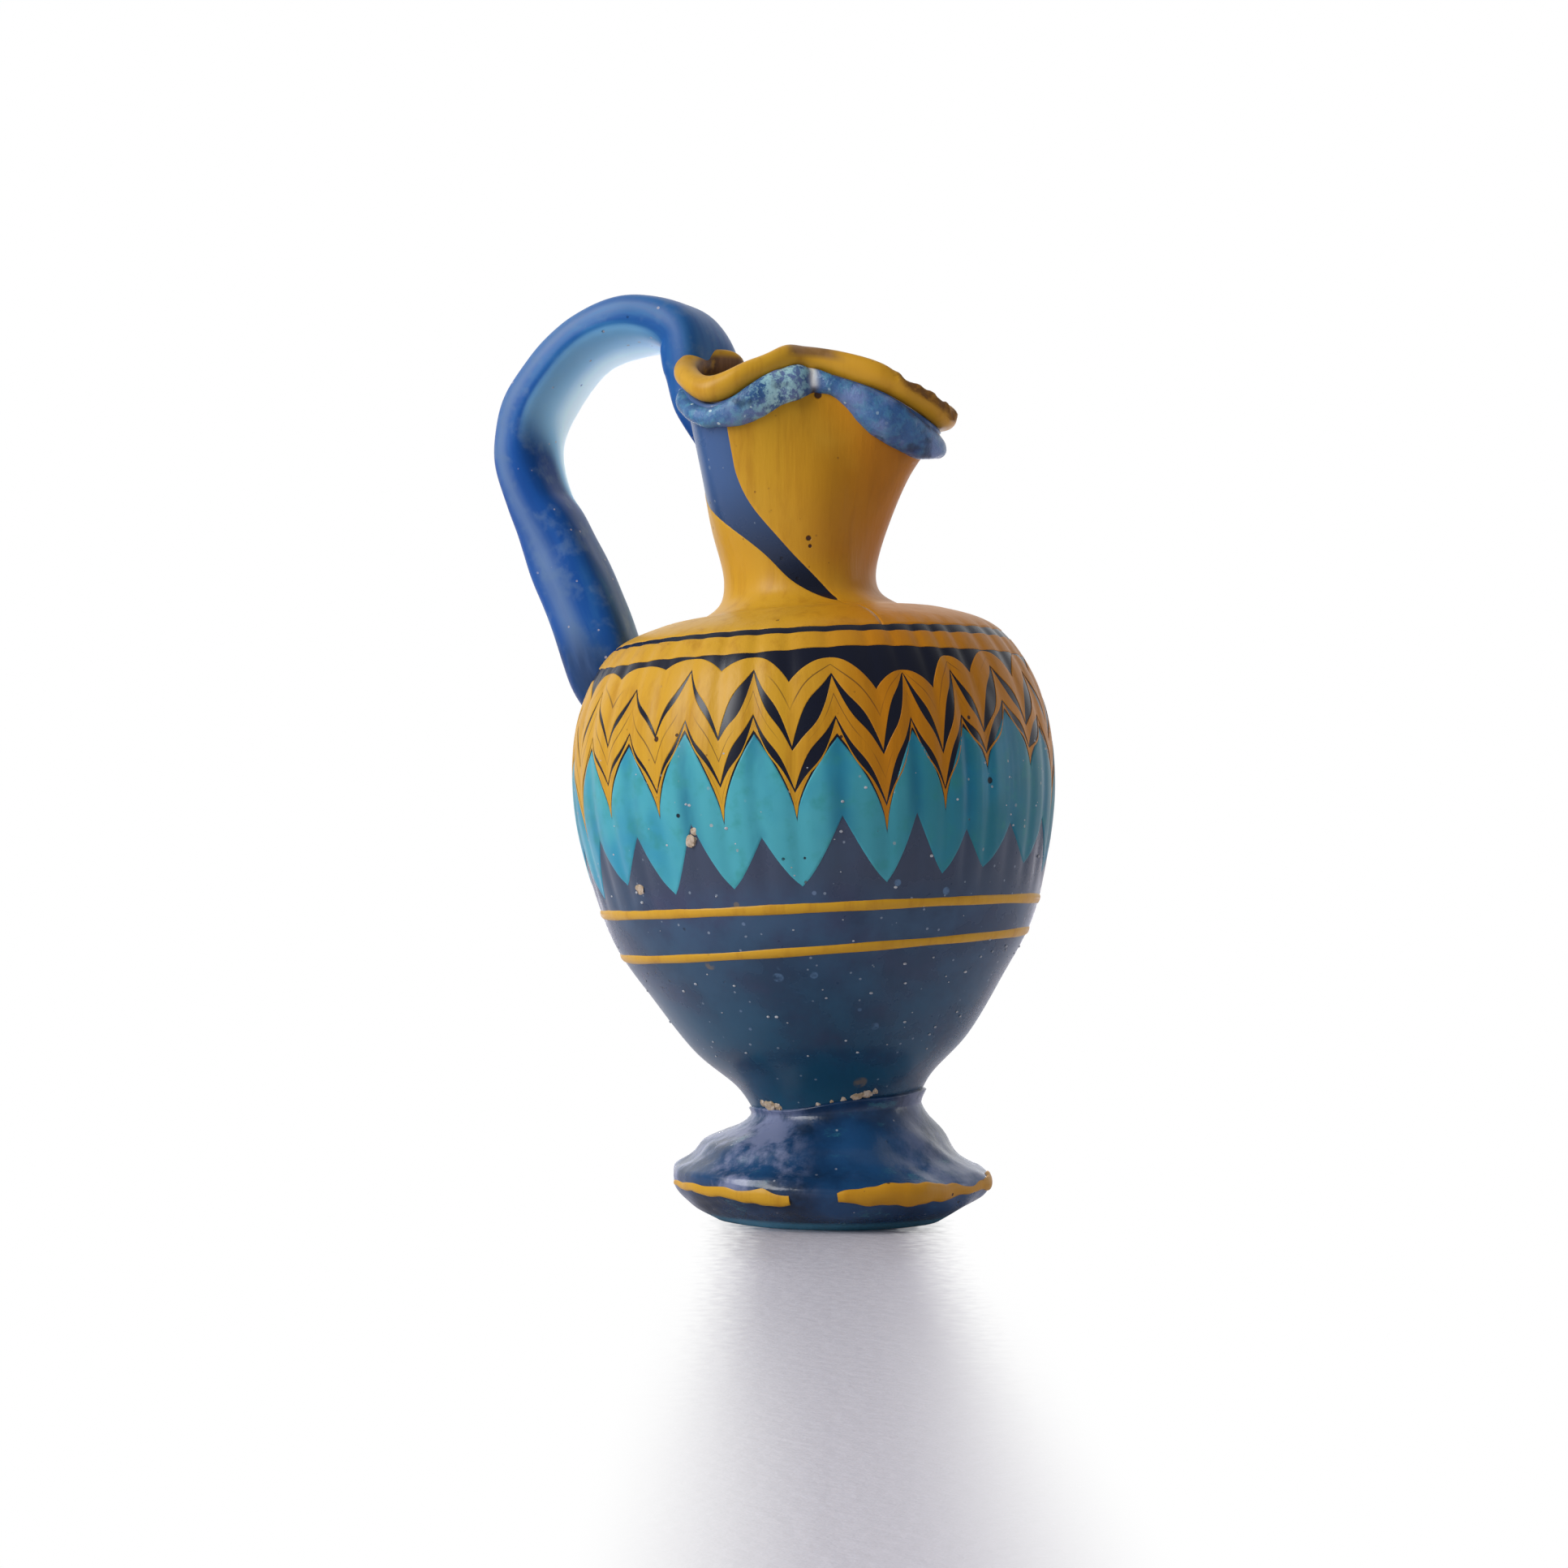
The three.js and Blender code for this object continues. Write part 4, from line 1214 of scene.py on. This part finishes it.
def build_feathers():
    """The combed bands on the shoulder: three of yellow over one of turquoise."""
    comb = comb_columns(STROKE_COLUMNS)
    angle, share = comb["angle"], comb["share"]
    arch = np.sin(math.pi * share / 2) ** 0.8
    zigzag = share + 0.35 * np.sin(TURN * share) / TURN
    lobe = 0.5 * share + 0.5 * (1 - np.cos(math.pi * share / 2))
    top = edge_height(FEATHER_TOP, comb, arch)
    first = edge_height(FIRST_LINE, comb, zigzag)
    second = edge_height(SECOND_LINE, comb, zigzag)
    yellow_low = edge_height(YELLOW_BOTTOM, comb, share**0.62)
    turquoise_low = edge_height(TURQUOISE_BOTTOM, comb, lobe)
    first_half, second_half = bare_line(comb, 1.0) / 2, bare_line(comb, 0.65) / 2
    bands = (
        ("feather-upper", first + first_half, top, 16, "feather_upper_yellow"),
        ("feather-middle", second + second_half, first - first_half, 14, "feather_middle_yellow"),
        ("feather-lower", yellow_low, second - second_half, 8, "feather_lower_yellow"),
    )
    yellow = yellow_glass("feather yellow", combed=True, marks=FEATHER_PITS)
    for name, low, high, rows, node in bands:
        low = place_at_height(angle, np.minimum(low, high - THINNEST))
        high = place_at_height(angle, high)
        trail_shell(name, angle, low, high, rows, yellow, [node])
    low = place_at_height(angle, turquoise_low)
    high = place_at_height(angle, yellow_low - HAIRLINE)
    turquoise = turquoise_glass()
    nodes = ["feather_turquoise"]
    shades = {"stroke": share}
    trail_shell("feather-turquoise", angle, low, high, 24, turquoise, nodes, shades)


def build_thread():
    """The thin yellow trail in two turns on the lower belly."""
    share = np.linspace(0, 1, THREAD_STEPS)
    turn, height = spline(THREAD_ROUTE, share)
    angle = turn * TURN
    tapered = np.minimum(1, 0.3 + 12 * np.minimum(share, 1 - share))
    girth = tapered * (1 + 0.10 * np.sin(angle * 9) * np.sin(angle * 4))
    path = surface_path(angle, place_at_height(angle, height), THREAD_SINK)
    width = sizes().thread / MM
    tree = trail_tree(yellow_glass("thread yellow", deepening=0.1))
    sweep_trail(tree, "belly-thread", path, girth, width, THREAD_THICKNESS, "belly_thread")


def rough(points, spacing, amount, seed=0.0):
    """Points moved by slow random waves of a spacing and an amount, as in glass shaped by hand."""
    noise.seed_set(WAVE_SEED)
    flat = points.reshape(-1, 3)
    shift = Vector((seed, seed * 1.7, seed * 0.6))
    moves = [noise.noise_vector(Vector(point) / spacing + shift) for point in flat.tolist()]
    return points + amount * np.array(moves).reshape(points.shape)


def rim_tube(angle, drop, depth, tall, thick):
    """Loops of an oval coil of glass along the rim, its long way following the wall."""
    centre, outward = surface_path(angle, place_below_rim(angle, drop), depth)
    along = np.cross(outward, around(angle + TURN / 4, 1.0, 0.0))
    turn = np.linspace(0, TURN, RIM_SIDES, endpoint=False)[:, None, None]
    half_thick = (thick / 2 - SKIN_DEPTH)[None, :, None]
    half_tall = (tall / 2 - SKIN_DEPTH)[None, :, None]
    return centre + outward * half_thick * np.cos(turn) + along * half_tall * np.sin(turn)


def bell(angle, middle, reach):
    """1 at an angle, falling off evenly to each side of it."""
    return np.exp(-((away(angle, middle) / reach) ** 2))


def beside(angle, middle, reach):
    """1 up to half a reach from an angle, and 0 from a whole one."""
    return smooth(2 - np.abs(away(angle, middle)) / reach * 2)


def build_coil(angle, side, quads):
    """The blue coil under the rim, pinched in beside the spout."""
    _, _, tall, thick = rim_at(angle)
    swell = 1 + 0.05 * np.sin(5 * angle + 1) + 0.04 * np.sin(11 * angle)
    pinch = bell(angle, PINCH_ANGLE, PINCH_REACH)
    fuller = bell(angle, FULL_ANGLE, FULL_REACH)
    depth = COIL_SEAT - thick / 2 + PINCH_DEPTH * pinch
    tall = tall * swell + FULL_HEIGHT * fuller
    loops = rim_tube(angle, COIL_TOP - FULL_RISE * fuller + tall / 2, depth, tall, thick * swell)
    loops = rough(rough(loops, 3.0, 0.22, 2.0), 1.1, 0.07, 8.0)
    # At the pinch: a painted glare on the coil's upper part, and painted shade on its lower part.
    above = smooth(np.sin(side) * 2.0 + 1.7)
    sharp = pinch**4
    pale = bell(angle, PALE_ANGLE, PALE_REACH) * np.ones_like(above)
    shades = {"glint": sharp * above, "notch": sharp * (1 - above), "pale": pale}
    make_piece("rim-coil", loops, [quads], coil_glass(), ["rim_coil"], shades=shades)


def build_lip(angle, side, quads):
    """The yellow trail on the lip, with painted shade beside the pinch, and chipped beside the spout."""
    girth = np.full_like(angle, LIP_THICKNESS)
    loops = rim_tube(angle, np.full_like(angle, LIP_DROP), LIP_DEPTH, girth, girth)
    chipped = smooth((np.sin(side) + 0.15) / 0.7) * beside(angle, CHIPPED_ANGLE, CHIPPED_REACH)
    jagged = rough(rough(loops, 1.7, 0.45, 5.0), 0.7, 0.16, 6.0) - np.array((0.0, 0.0, CHIPPED_DEPTH))
    loops = rough(loops, 4.0, 0.2, 3.0) + (jagged - loops) * chipped[..., None]
    inward = smooth(-np.cos(side) * 1.6 - 0.1) * smooth((0.75 - np.sin(side)) / 0.5)
    # Painted shade: brown on the lip beside the pinch, where it is pressed in.
    rubbed = smooth((np.sin(side) + 0.3) / 0.55) * beside(angle, PINCH_ANGLE, RUBBED_REACH)
    shades = {"worn": np.maximum(inward, 0.8 * rubbed), "chipped": chipped}
    make_piece("lip-trail", loops, [quads], lip_glass(), ["lip_trail"], shades=shades)


def build_rim():
    angle = np.linspace(0, TURN, RIM_COLUMNS, endpoint=False)
    side = np.linspace(0, TURN, RIM_SIDES, endpoint=False)[:, None]
    quads = ring_quads(RIM_SIDES, RIM_COLUMNS, True)
    build_coil(angle, side, quads)
    build_lip(angle, side, quads)


def keep_in_wall(points):
    """Moves points that lie deep in the body out to just under its surface."""
    angle = np.arctan2(points[..., 0], -points[..., 1])
    radius = np.hypot(points[..., 0], points[..., 1])
    ring = np.linspace(-math.pi, math.pi, 361)
    rim = np.interp(angle, ring, outline(ring, 1.0)[1])
    surface = outline(angle, place_at_height(angle, points[..., 2]))[0]
    deep = (points[..., 2] < rim) & (radius < surface - ROOT_DEPTH)
    return around(angle, np.where(deep, surface - ROOT_DEPTH, radius), points[..., 2])


def strap_section(turn, width, thickness):
    """Points around the strap's middle, on a square rounded off: across it, and towards its outer side."""
    power = 2 / HANDLE_SQUARENESS
    squared = (np.abs(np.cos(turn)) ** power + np.abs(np.sin(turn)) ** power) ** (-1 / power)
    half_width = squared * np.cos(turn) * (width / 2 - SKIN_DEPTH)
    half_thick = squared * np.sin(turn) * (thickness / 2 - SKIN_DEPTH)
    return half_width, half_thick


def strap_shades(along, turn):
    """Where light and a glow are painted on the inner face of the arch, and where a highlight is painted
    along the ridge.
    """
    inner = smooth((np.sin(turn) * 1.6 - np.abs(np.cos(turn)) * 0.9 + 0.2) / 0.5)
    far = smooth((0.75 - np.cos(turn)) / 1.5)
    far_only = smooth((along - 0.46) / 0.16) * (1 - far**4)
    arch = smooth((along - 0.18) / 0.1) * smooth((0.76 - along) / 0.16) * (1 - far_only)
    ridge = smooth(1 - np.abs(np.arctan2(np.sin(turn), np.cos(turn)) + 0.25) / 0.50)
    return inner * arch * mix(0.35, 1.0, far), ridge * mix(0.4, 1.0, smooth((along - 0.15) / 0.14))


def build_handle():
    """The strap from the rim over its arch to the shoulder, pressed on at both ends."""
    along = np.linspace(0, 1, HANDLE_ROWS)[:, None]
    turn = np.linspace(0, TURN, HANDLE_SIDES, endpoint=False)[None, :]
    reach, height, width, thickness, twist = spline(HANDLE_ROUTE, along)
    step_out, step_up = np.gradient(reach, axis=0), np.gradient(height, axis=0)
    length = np.hypot(step_out, step_up)
    half_width, half_thick = strap_section(turn, width, thickness)
    twisted = np.radians(twist)
    out = half_thick * np.cos(twisted) - half_width * np.sin(twisted)
    across = half_width * np.cos(twisted) + half_thick * np.sin(twisted)
    radius = reach + out * (step_up / length)
    level = height - out * (step_out / length)
    way = np.array((math.sin(HANDLE_ANGLE), -math.cos(HANDLE_ANGLE)))
    side = np.array((math.cos(HANDLE_ANGLE), math.sin(HANDLE_ANGLE)))
    plan = radius[..., None] * way + across[..., None] * side
    loops = keep_in_wall(rough(np.concatenate((plan, level[..., None]), axis=-1), 7.0, 0.3, 1.0))
    points, faces = capped(loops, *loops[[0, -1]].mean(axis=1), turned=True)
    run = np.cumsum(length, axis=0) * STRAND_STRETCH
    strands = np.stack(np.broadcast_arrays(half_width, half_thick, run), axis=-1)
    # Painted light and glow on the inner face, and the painted highlight on the ridge.
    thin, ridge = strap_shades(along, turn)
    shades = {
        "thin": np.append(thin, [0, 0]),
        "ridge": np.append(ridge, [0, 0]),
        "lengthwise": np.concatenate((strands.reshape(-1, 3), np.zeros((2, 3)))) * MM,
    }
    make_piece("handle-strap", points, faces, handle_glass(), ["handle"], shades=shades)


def foot_swell(angle, height):
    """How far the foot's folds make it wider or narrower at a height."""
    slope = smooth(height / 3) * smooth((12.5 - height) / 4)
    edge = 0.22 * np.sin(3 * angle + 0.5) + 0.10 * np.sin(8 * angle)
    fuller = FOOT_FULLER * smooth(-np.sin(angle)) * slope * smooth((height - 4.6) / 2.2)
    moved = fuller + edge * smooth((7 - height) / 3)
    for middle, turned, width, depth in FOOT_FOLDS:
        fold = bell(angle, np.radians(middle + turned * (height - 7)), math.radians(width))
        moved = moved + depth * slope * fold
    return moved


def foot_collar(angle, radius, height):
    """The foot's upper part drawn up onto the body: its radius and height there."""
    rising = smooth(0.5 + 0.5 * np.sin(angle)) + 0.06 * np.sin(5 * angle + 1)
    join = mix(FOOT_COLLAR[0], FOOT_COLLAR[1], rising)
    stretch = (join + 0.4 - FOOT_COLLAR_START) / (FOOT_PROFILE[-1][1] - FOOT_COLLAR_START)
    raised = np.where(height > FOOT_COLLAR_START, mix(FOOT_COLLAR_START, height, stretch), height)
    above = raised - FOOT_JOINT.z - math.sin(LEAN) * BODY_PROFILE[0][0] * np.sin(angle)
    stops = np.array(BODY_PROFILE[:3])
    shift = FOOT_JOINT.x - math.sin(LEAN) * above
    body = np.interp(above, stops[:, 1], stops[:, 0]) + shift * np.sin(angle)
    drawn = smooth((raised - FOOT_COLLAR_START) / (join - FOOT_COLLAR_START))
    tucked = 0.7 * smooth((raised - join) / 0.4)
    return mix(radius, body + 0.05, drawn) - tucked, raised


def build_foot_pad():
    """The blue pad drawn out into a foot."""
    angle = np.linspace(0, TURN, FOOT_COLUMNS, endpoint=False)[None, :]
    radius, height = spline(FOOT_PROFILE, np.linspace(0, 1, FOOT_ROWS))
    height = np.maximum(height, 0.0)[:, None] + np.zeros_like(angle)
    radius = radius[:, None] - SKIN_DEPTH + foot_swell(angle, height)
    loops = around(angle, *foot_collar(angle, radius, height))
    folded = rough(rough(loops, 9.0, 0.5, 4.0), 2.6, 0.10, 6.0)
    between = smooth(height / 2.5) * smooth((FOOT_COLLAR_START + 3 - height) / 2)
    inside_edge = smooth((18.7 - radius) / 1.5)
    loops = mix(loops, folded, (between * inside_edge)[..., None])
    points, faces = capped(loops, (0, 0, 0), (0, 0, loops[-1, :, 2].mean()))
    make_piece("foot-pad", points, faces, foot_glass(), ["foot"], place=FOOT_PLACE)


def build_foot_trails():
    """The yellow trail in broken stretches on the foot's edge, with a point at each degree."""
    tree = trail_tree(yellow_glass("foot yellow", deepening=0.5))
    profile_radius, profile_height = spline(FOOT_PROFILE, np.linspace(0, 1, FOOT_ROWS))
    sizes_across = (FOOT_TRAIL_WIDTH, FOOT_TRAIL_THICKNESS)
    for number, (start, end, low, high, girths) in enumerate(FOOT_TRAILS, 1):
        share = np.linspace(0, 1, end - start)
        angle = np.radians(mix(start, end, share))
        level = mix(low, high, share) + 0.15 * np.sin(5 * angle) + 0.10 * np.sin(23 * angle)
        girth = spline([(girth,) for girth in girths], share)[0]
        girth = girth * (1 + 0.09 * np.sin(31 * angle) * np.sin(17 * angle))
        edge = np.interp(level, profile_height, profile_radius)
        radius = edge - SKIN_DEPTH + foot_swell(angle, level) - FOOT_TRAIL_SINK * girth
        path = around(angle, radius, level), around(angle, 1.0, 0.0)
        name, node = "foot-edge-trail-" + str(number), "foot_edge_trail_" + str(number)
        sweep_trail(tree, name, path, girth, *sizes_across, node, place=FOOT_PLACE)


def build_crusts():
    """Lumps of earth and burst bubbles on the body and along its joint with the foot."""
    earth = grain_finish("earth crust", tuple(colours().earth), (0.66, 0.56, 0.46))
    points, faces = [], []
    for number, (angle, height, size) in enumerate(CRUSTS):
        ball = bmesh.new()
        bmesh.ops.create_icosphere(ball, subdivisions=3, radius=size / 2)
        ball_points = np.array([corner.co for corner in ball.verts])
        ball_faces = np.array([[corner.index for corner in face.verts] for face in ball.faces])
        ball.free()
        ball_points = rough(ball_points, size * 0.45, size * 0.28, 3.1 * number)
        turned = np.radians(np.array([float(angle)]))
        centre, outward = surface_path(turned, place_at_height(turned, height), 0.05)
        outward = Vector(outward[0])
        lying = np.array(outward.to_track_quat("Z", "Y").to_matrix() @ Matrix.Diagonal((1.0, 1.0, 0.42)))
        faces.append(ball_faces + sum(len(part) for part in points))
        points.append(ball_points @ lying.T + centre)
    make_piece("crusts", np.concatenate(points), faces, earth)


def build_weathering():
    """Pale grains on the lower body, and the crusts."""
    build_crusts()
    angle = comb_columns(2)["angle"]
    low, high = (place_at_height(angle, height) for height in GRAIN_HEIGHTS)
    patch = wall_point(angle, mix(low, high, np.linspace(0, 1, 50)[:, None]), -MARK_RISE)
    mesh = new_mesh("grain-ground", patch, BODY_PLACE, faces=ring_quads(*patch.shape[:2]).tolist())
    ground = new_object("grain-ground", mesh)
    area = sum(face.area for face in mesh.polygons)
    pale = grain_finish("pale grains", (0.30, 0.33, 0.38), (0.62, 0.62, 0.62))
    grains = run_tree(grain_tree(pale), ground, {"Density": sizes().specks / area}, "surface-grains")
    settle(grains)


# Stage


def floor_finish():
    """A pale table that shows in a soft strip before the jug, and passes into the white around it."""
    finish = Finish("pale floor")
    grain = finish.noise(620.0, 3.0)
    beside_jug = finish.add("ShaderNodeMath", {"operation": "ABSOLUTE"}, [finish.side() + 0.0005])
    depth = finish.axis("Y")
    far = depth.over(-0.030, -0.170)
    near = 1.0 - far
    loose = beside_jug + (grain - 0.5) * 0.006 * near
    strip = 1.0 - loose.over(*FLOOR_BESIDE) * near - loose.over(*FLOOR_BEFORE) * far
    fade = 1.0 - strip * depth.over(*FLOOR_BEHIND) * depth.over(*FLOOR_END)
    mottled = grain.over(0.35, 0.65) * near * 0.6
    finish.set(
        Base_Color=finish.blend(tuple(colours().floor), (0.50, 0.48, 0.54), mottled),
        Roughness=0.5,
        Specular_IOR_Level=0.2,
        Normal=finish.bump(grain, 0.0004, 0.5),
    )
    seen = finish.add("ShaderNodeLightPath", output="Is Camera Ray")
    white = finish.add("ShaderNodeEmission", inputs={"Color": (1.0, 1.0, 1.0), "Strength": 1.0})
    table = Value(finish, finish.surface.outputs[0])
    mixed = finish.add("ShaderNodeMixShader", inputs=[fade * seen, table, white])
    finish.feed(finish.tree.nodes["Material Output"].inputs["Surface"], mixed)
    return finish.material


def build_floor():
    half = FLOOR_SIZE / 2
    corners = [(-half, -half, 0), (half, -half, 0), (half, half, 0), (-half, half, 0)]
    mesh = bpy.data.meshes.new("floor")
    mesh.from_pydata(corners, [], [(0, 1, 2, 3)])
    mesh.materials.append(floor_finish())
    floor = new_object("floor", mesh)


def build_surround():
    """White behind the jug and for the camera, dimmer behind the camera, as in a small studio."""
    world = bpy.data.worlds.new("surround")
    world.use_nodes = True
    bpy.context.scene.world = world
    tree = world.node_tree
    ways = tree.nodes.new("ShaderNodeTexCoord")
    parts = tree.nodes.new("ShaderNodeSeparateXYZ")
    tree.links.new(ways.outputs["Generated"], parts.inputs[0])
    fall = tree.nodes.new("ShaderNodeMapRange")
    fall.interpolation_type = "SMOOTHSTEP"
    tree.links.new(parts.outputs["Y"], fall.inputs["Value"])
    labels = ("From Min", "From Max", "To Min", "To Max")
    for label, value in zip(labels, (*LEVEL_CHANGE, FRONT_LEVEL, BACK_LEVEL)):
        fall.inputs[label].default_value = value
    path = tree.nodes.new("ShaderNodeLightPath")
    level = tree.nodes.new("ShaderNodeMix")
    level.inputs["B"].default_value = 1.0
    tree.links.new(path.outputs["Is Camera Ray"], level.inputs["Factor"])
    tree.links.new(fall.outputs["Result"], level.inputs["A"])
    backdrop = tree.nodes["Background"]
    backdrop.inputs["Color"].default_value = (1.0, 1.0, 1.0, 1.0)
    tree.links.new(level.outputs["Result"], backdrop.inputs["Strength"])


def build_camera():
    lens = bpy.data.cameras.new("camera")
    lens.lens = VIEW_LENS
    lens.sensor_width = 36.0
    lens.clip_start = 0.01
    camera = new_object("camera", lens)
    camera.location = (VIEW_ASIDE, -VIEW_BACK, VIEW_UP)
    camera.rotation_euler = (math.pi / 2 + VIEW_TILT, 0.0, 0.0)
    bpy.context.scene.camera = camera


def build_lamps():
    for name, place, target, power, wide, tall, glossy in LAMPS:
        lamp = bpy.data.lights.new(name, "AREA")
        lamp.shape = "RECTANGLE"
        lamp.size = wide
        lamp.size_y = tall
        lamp.energy = power
        holder = new_object(name, lamp)
        holder.visible_glossy = glossy
        holder.location = place
        holder.rotation_euler = (Vector(target) - Vector(place)).to_track_quat("-Z", "Y").to_euler()


# Operators


class JUG_OT_stage(bpy.types.Operator):
    """Set up the camera, the floor, the lamps and the white surround"""

    bl_idname = "jug.stage"
    bl_label = "Stage"

    def execute(self, context):
        build_camera()
        context.scene.view_settings.view_transform = "Standard"
        build_floor()
        build_surround()
        build_lamps()
        return {"FINISHED"}


class JUG_OT_body(bpy.types.Operator):
    """Build the hollow cobalt body"""

    bl_idname = "jug.body"
    bl_label = "Body"

    def execute(self, context):
        build_body()
        return {"FINISHED"}


class JUG_OT_neck(bpy.types.Operator):
    """Build the yellow trails on the neck and the shoulder"""

    bl_idname = "jug.neck"
    bl_label = "Neck trails"

    def execute(self, context):
        yellow = yellow_glass("neck yellow", marks=NECK_PITS)
        build_neck_wrap(yellow)
        build_shoulder_ring(yellow)
        return {"FINISHED"}


class JUG_OT_feathers(bpy.types.Operator):
    """Build the combed yellow and turquoise bands"""

    bl_idname = "jug.feathers"
    bl_label = "Feathers"

    def execute(self, context):
        build_feathers()
        return {"FINISHED"}


class JUG_OT_thread(bpy.types.Operator):
    """Build the thread on the lower belly"""

    bl_idname = "jug.thread"
    bl_label = "Belly thread"

    def execute(self, context):
        build_thread()
        return {"FINISHED"}


class JUG_OT_rim(bpy.types.Operator):
    """Build the coil and the lip of the mouth"""

    bl_idname = "jug.rim"
    bl_label = "Rim"

    def execute(self, context):
        build_rim()
        return {"FINISHED"}


class JUG_OT_handle(bpy.types.Operator):
    """Build the strap handle"""

    bl_idname = "jug.handle"
    bl_label = "Handle"

    def execute(self, context):
        build_handle()
        return {"FINISHED"}


class JUG_OT_foot(bpy.types.Operator):
    """Build the foot and the trail on its edge"""

    bl_idname = "jug.foot"
    bl_label = "Foot"

    def execute(self, context):
        build_foot_pad()
        build_foot_trails()
        return {"FINISHED"}


class JUG_OT_weathering(bpy.types.Operator):
    """Scatter pale grains over the body, and crusts of earth on it and along the foot"""

    bl_idname = "jug.weathering"
    bl_label = "Weathering"

    def execute(self, context):
        build_weathering()
        return {"FINISHED"}


OPERATORS = (
    JUG_OT_stage, JUG_OT_body, JUG_OT_neck, JUG_OT_feathers, JUG_OT_thread, JUG_OT_rim, JUG_OT_handle,
    JUG_OT_foot, JUG_OT_weathering,
)


class JUG_PT_panel(bpy.types.Panel):
    """Sizes, colours and steps of the jug"""

    bl_idname = "JUG_PT_panel"
    bl_label = "Glass jug"
    bl_space_type = "VIEW_3D"
    bl_region_type = "UI"
    bl_category = "Jug"

    def draw(self, context):
        for group in (context.scene.jug_sizes, context.scene.jug_colours):
            column = self.layout.column()
            for name in group.__annotations__:
                column.prop(group, name)
        for operator in OPERATORS:
            self.layout.operator(operator.bl_idname)


CLASSES = (JugSizes, JugColours, *OPERATORS, JUG_PT_panel)


def register():
    for kind in CLASSES:
        bpy.utils.register_class(kind)
    bpy.types.Scene.jug_sizes = PointerProperty(type=JugSizes)
    bpy.types.Scene.jug_colours = PointerProperty(type=JugColours)


def unregister():
    del bpy.types.Scene.jug_sizes
    del bpy.types.Scene.jug_colours
    for kind in reversed(CLASSES):
        bpy.utils.unregister_class(kind)


def main():
    register()
    for operator in OPERATORS:
        group, name = operator.bl_idname.split(".")
        getattr(getattr(bpy.ops, group), name)()


if __name__ == "__main__":
    main()
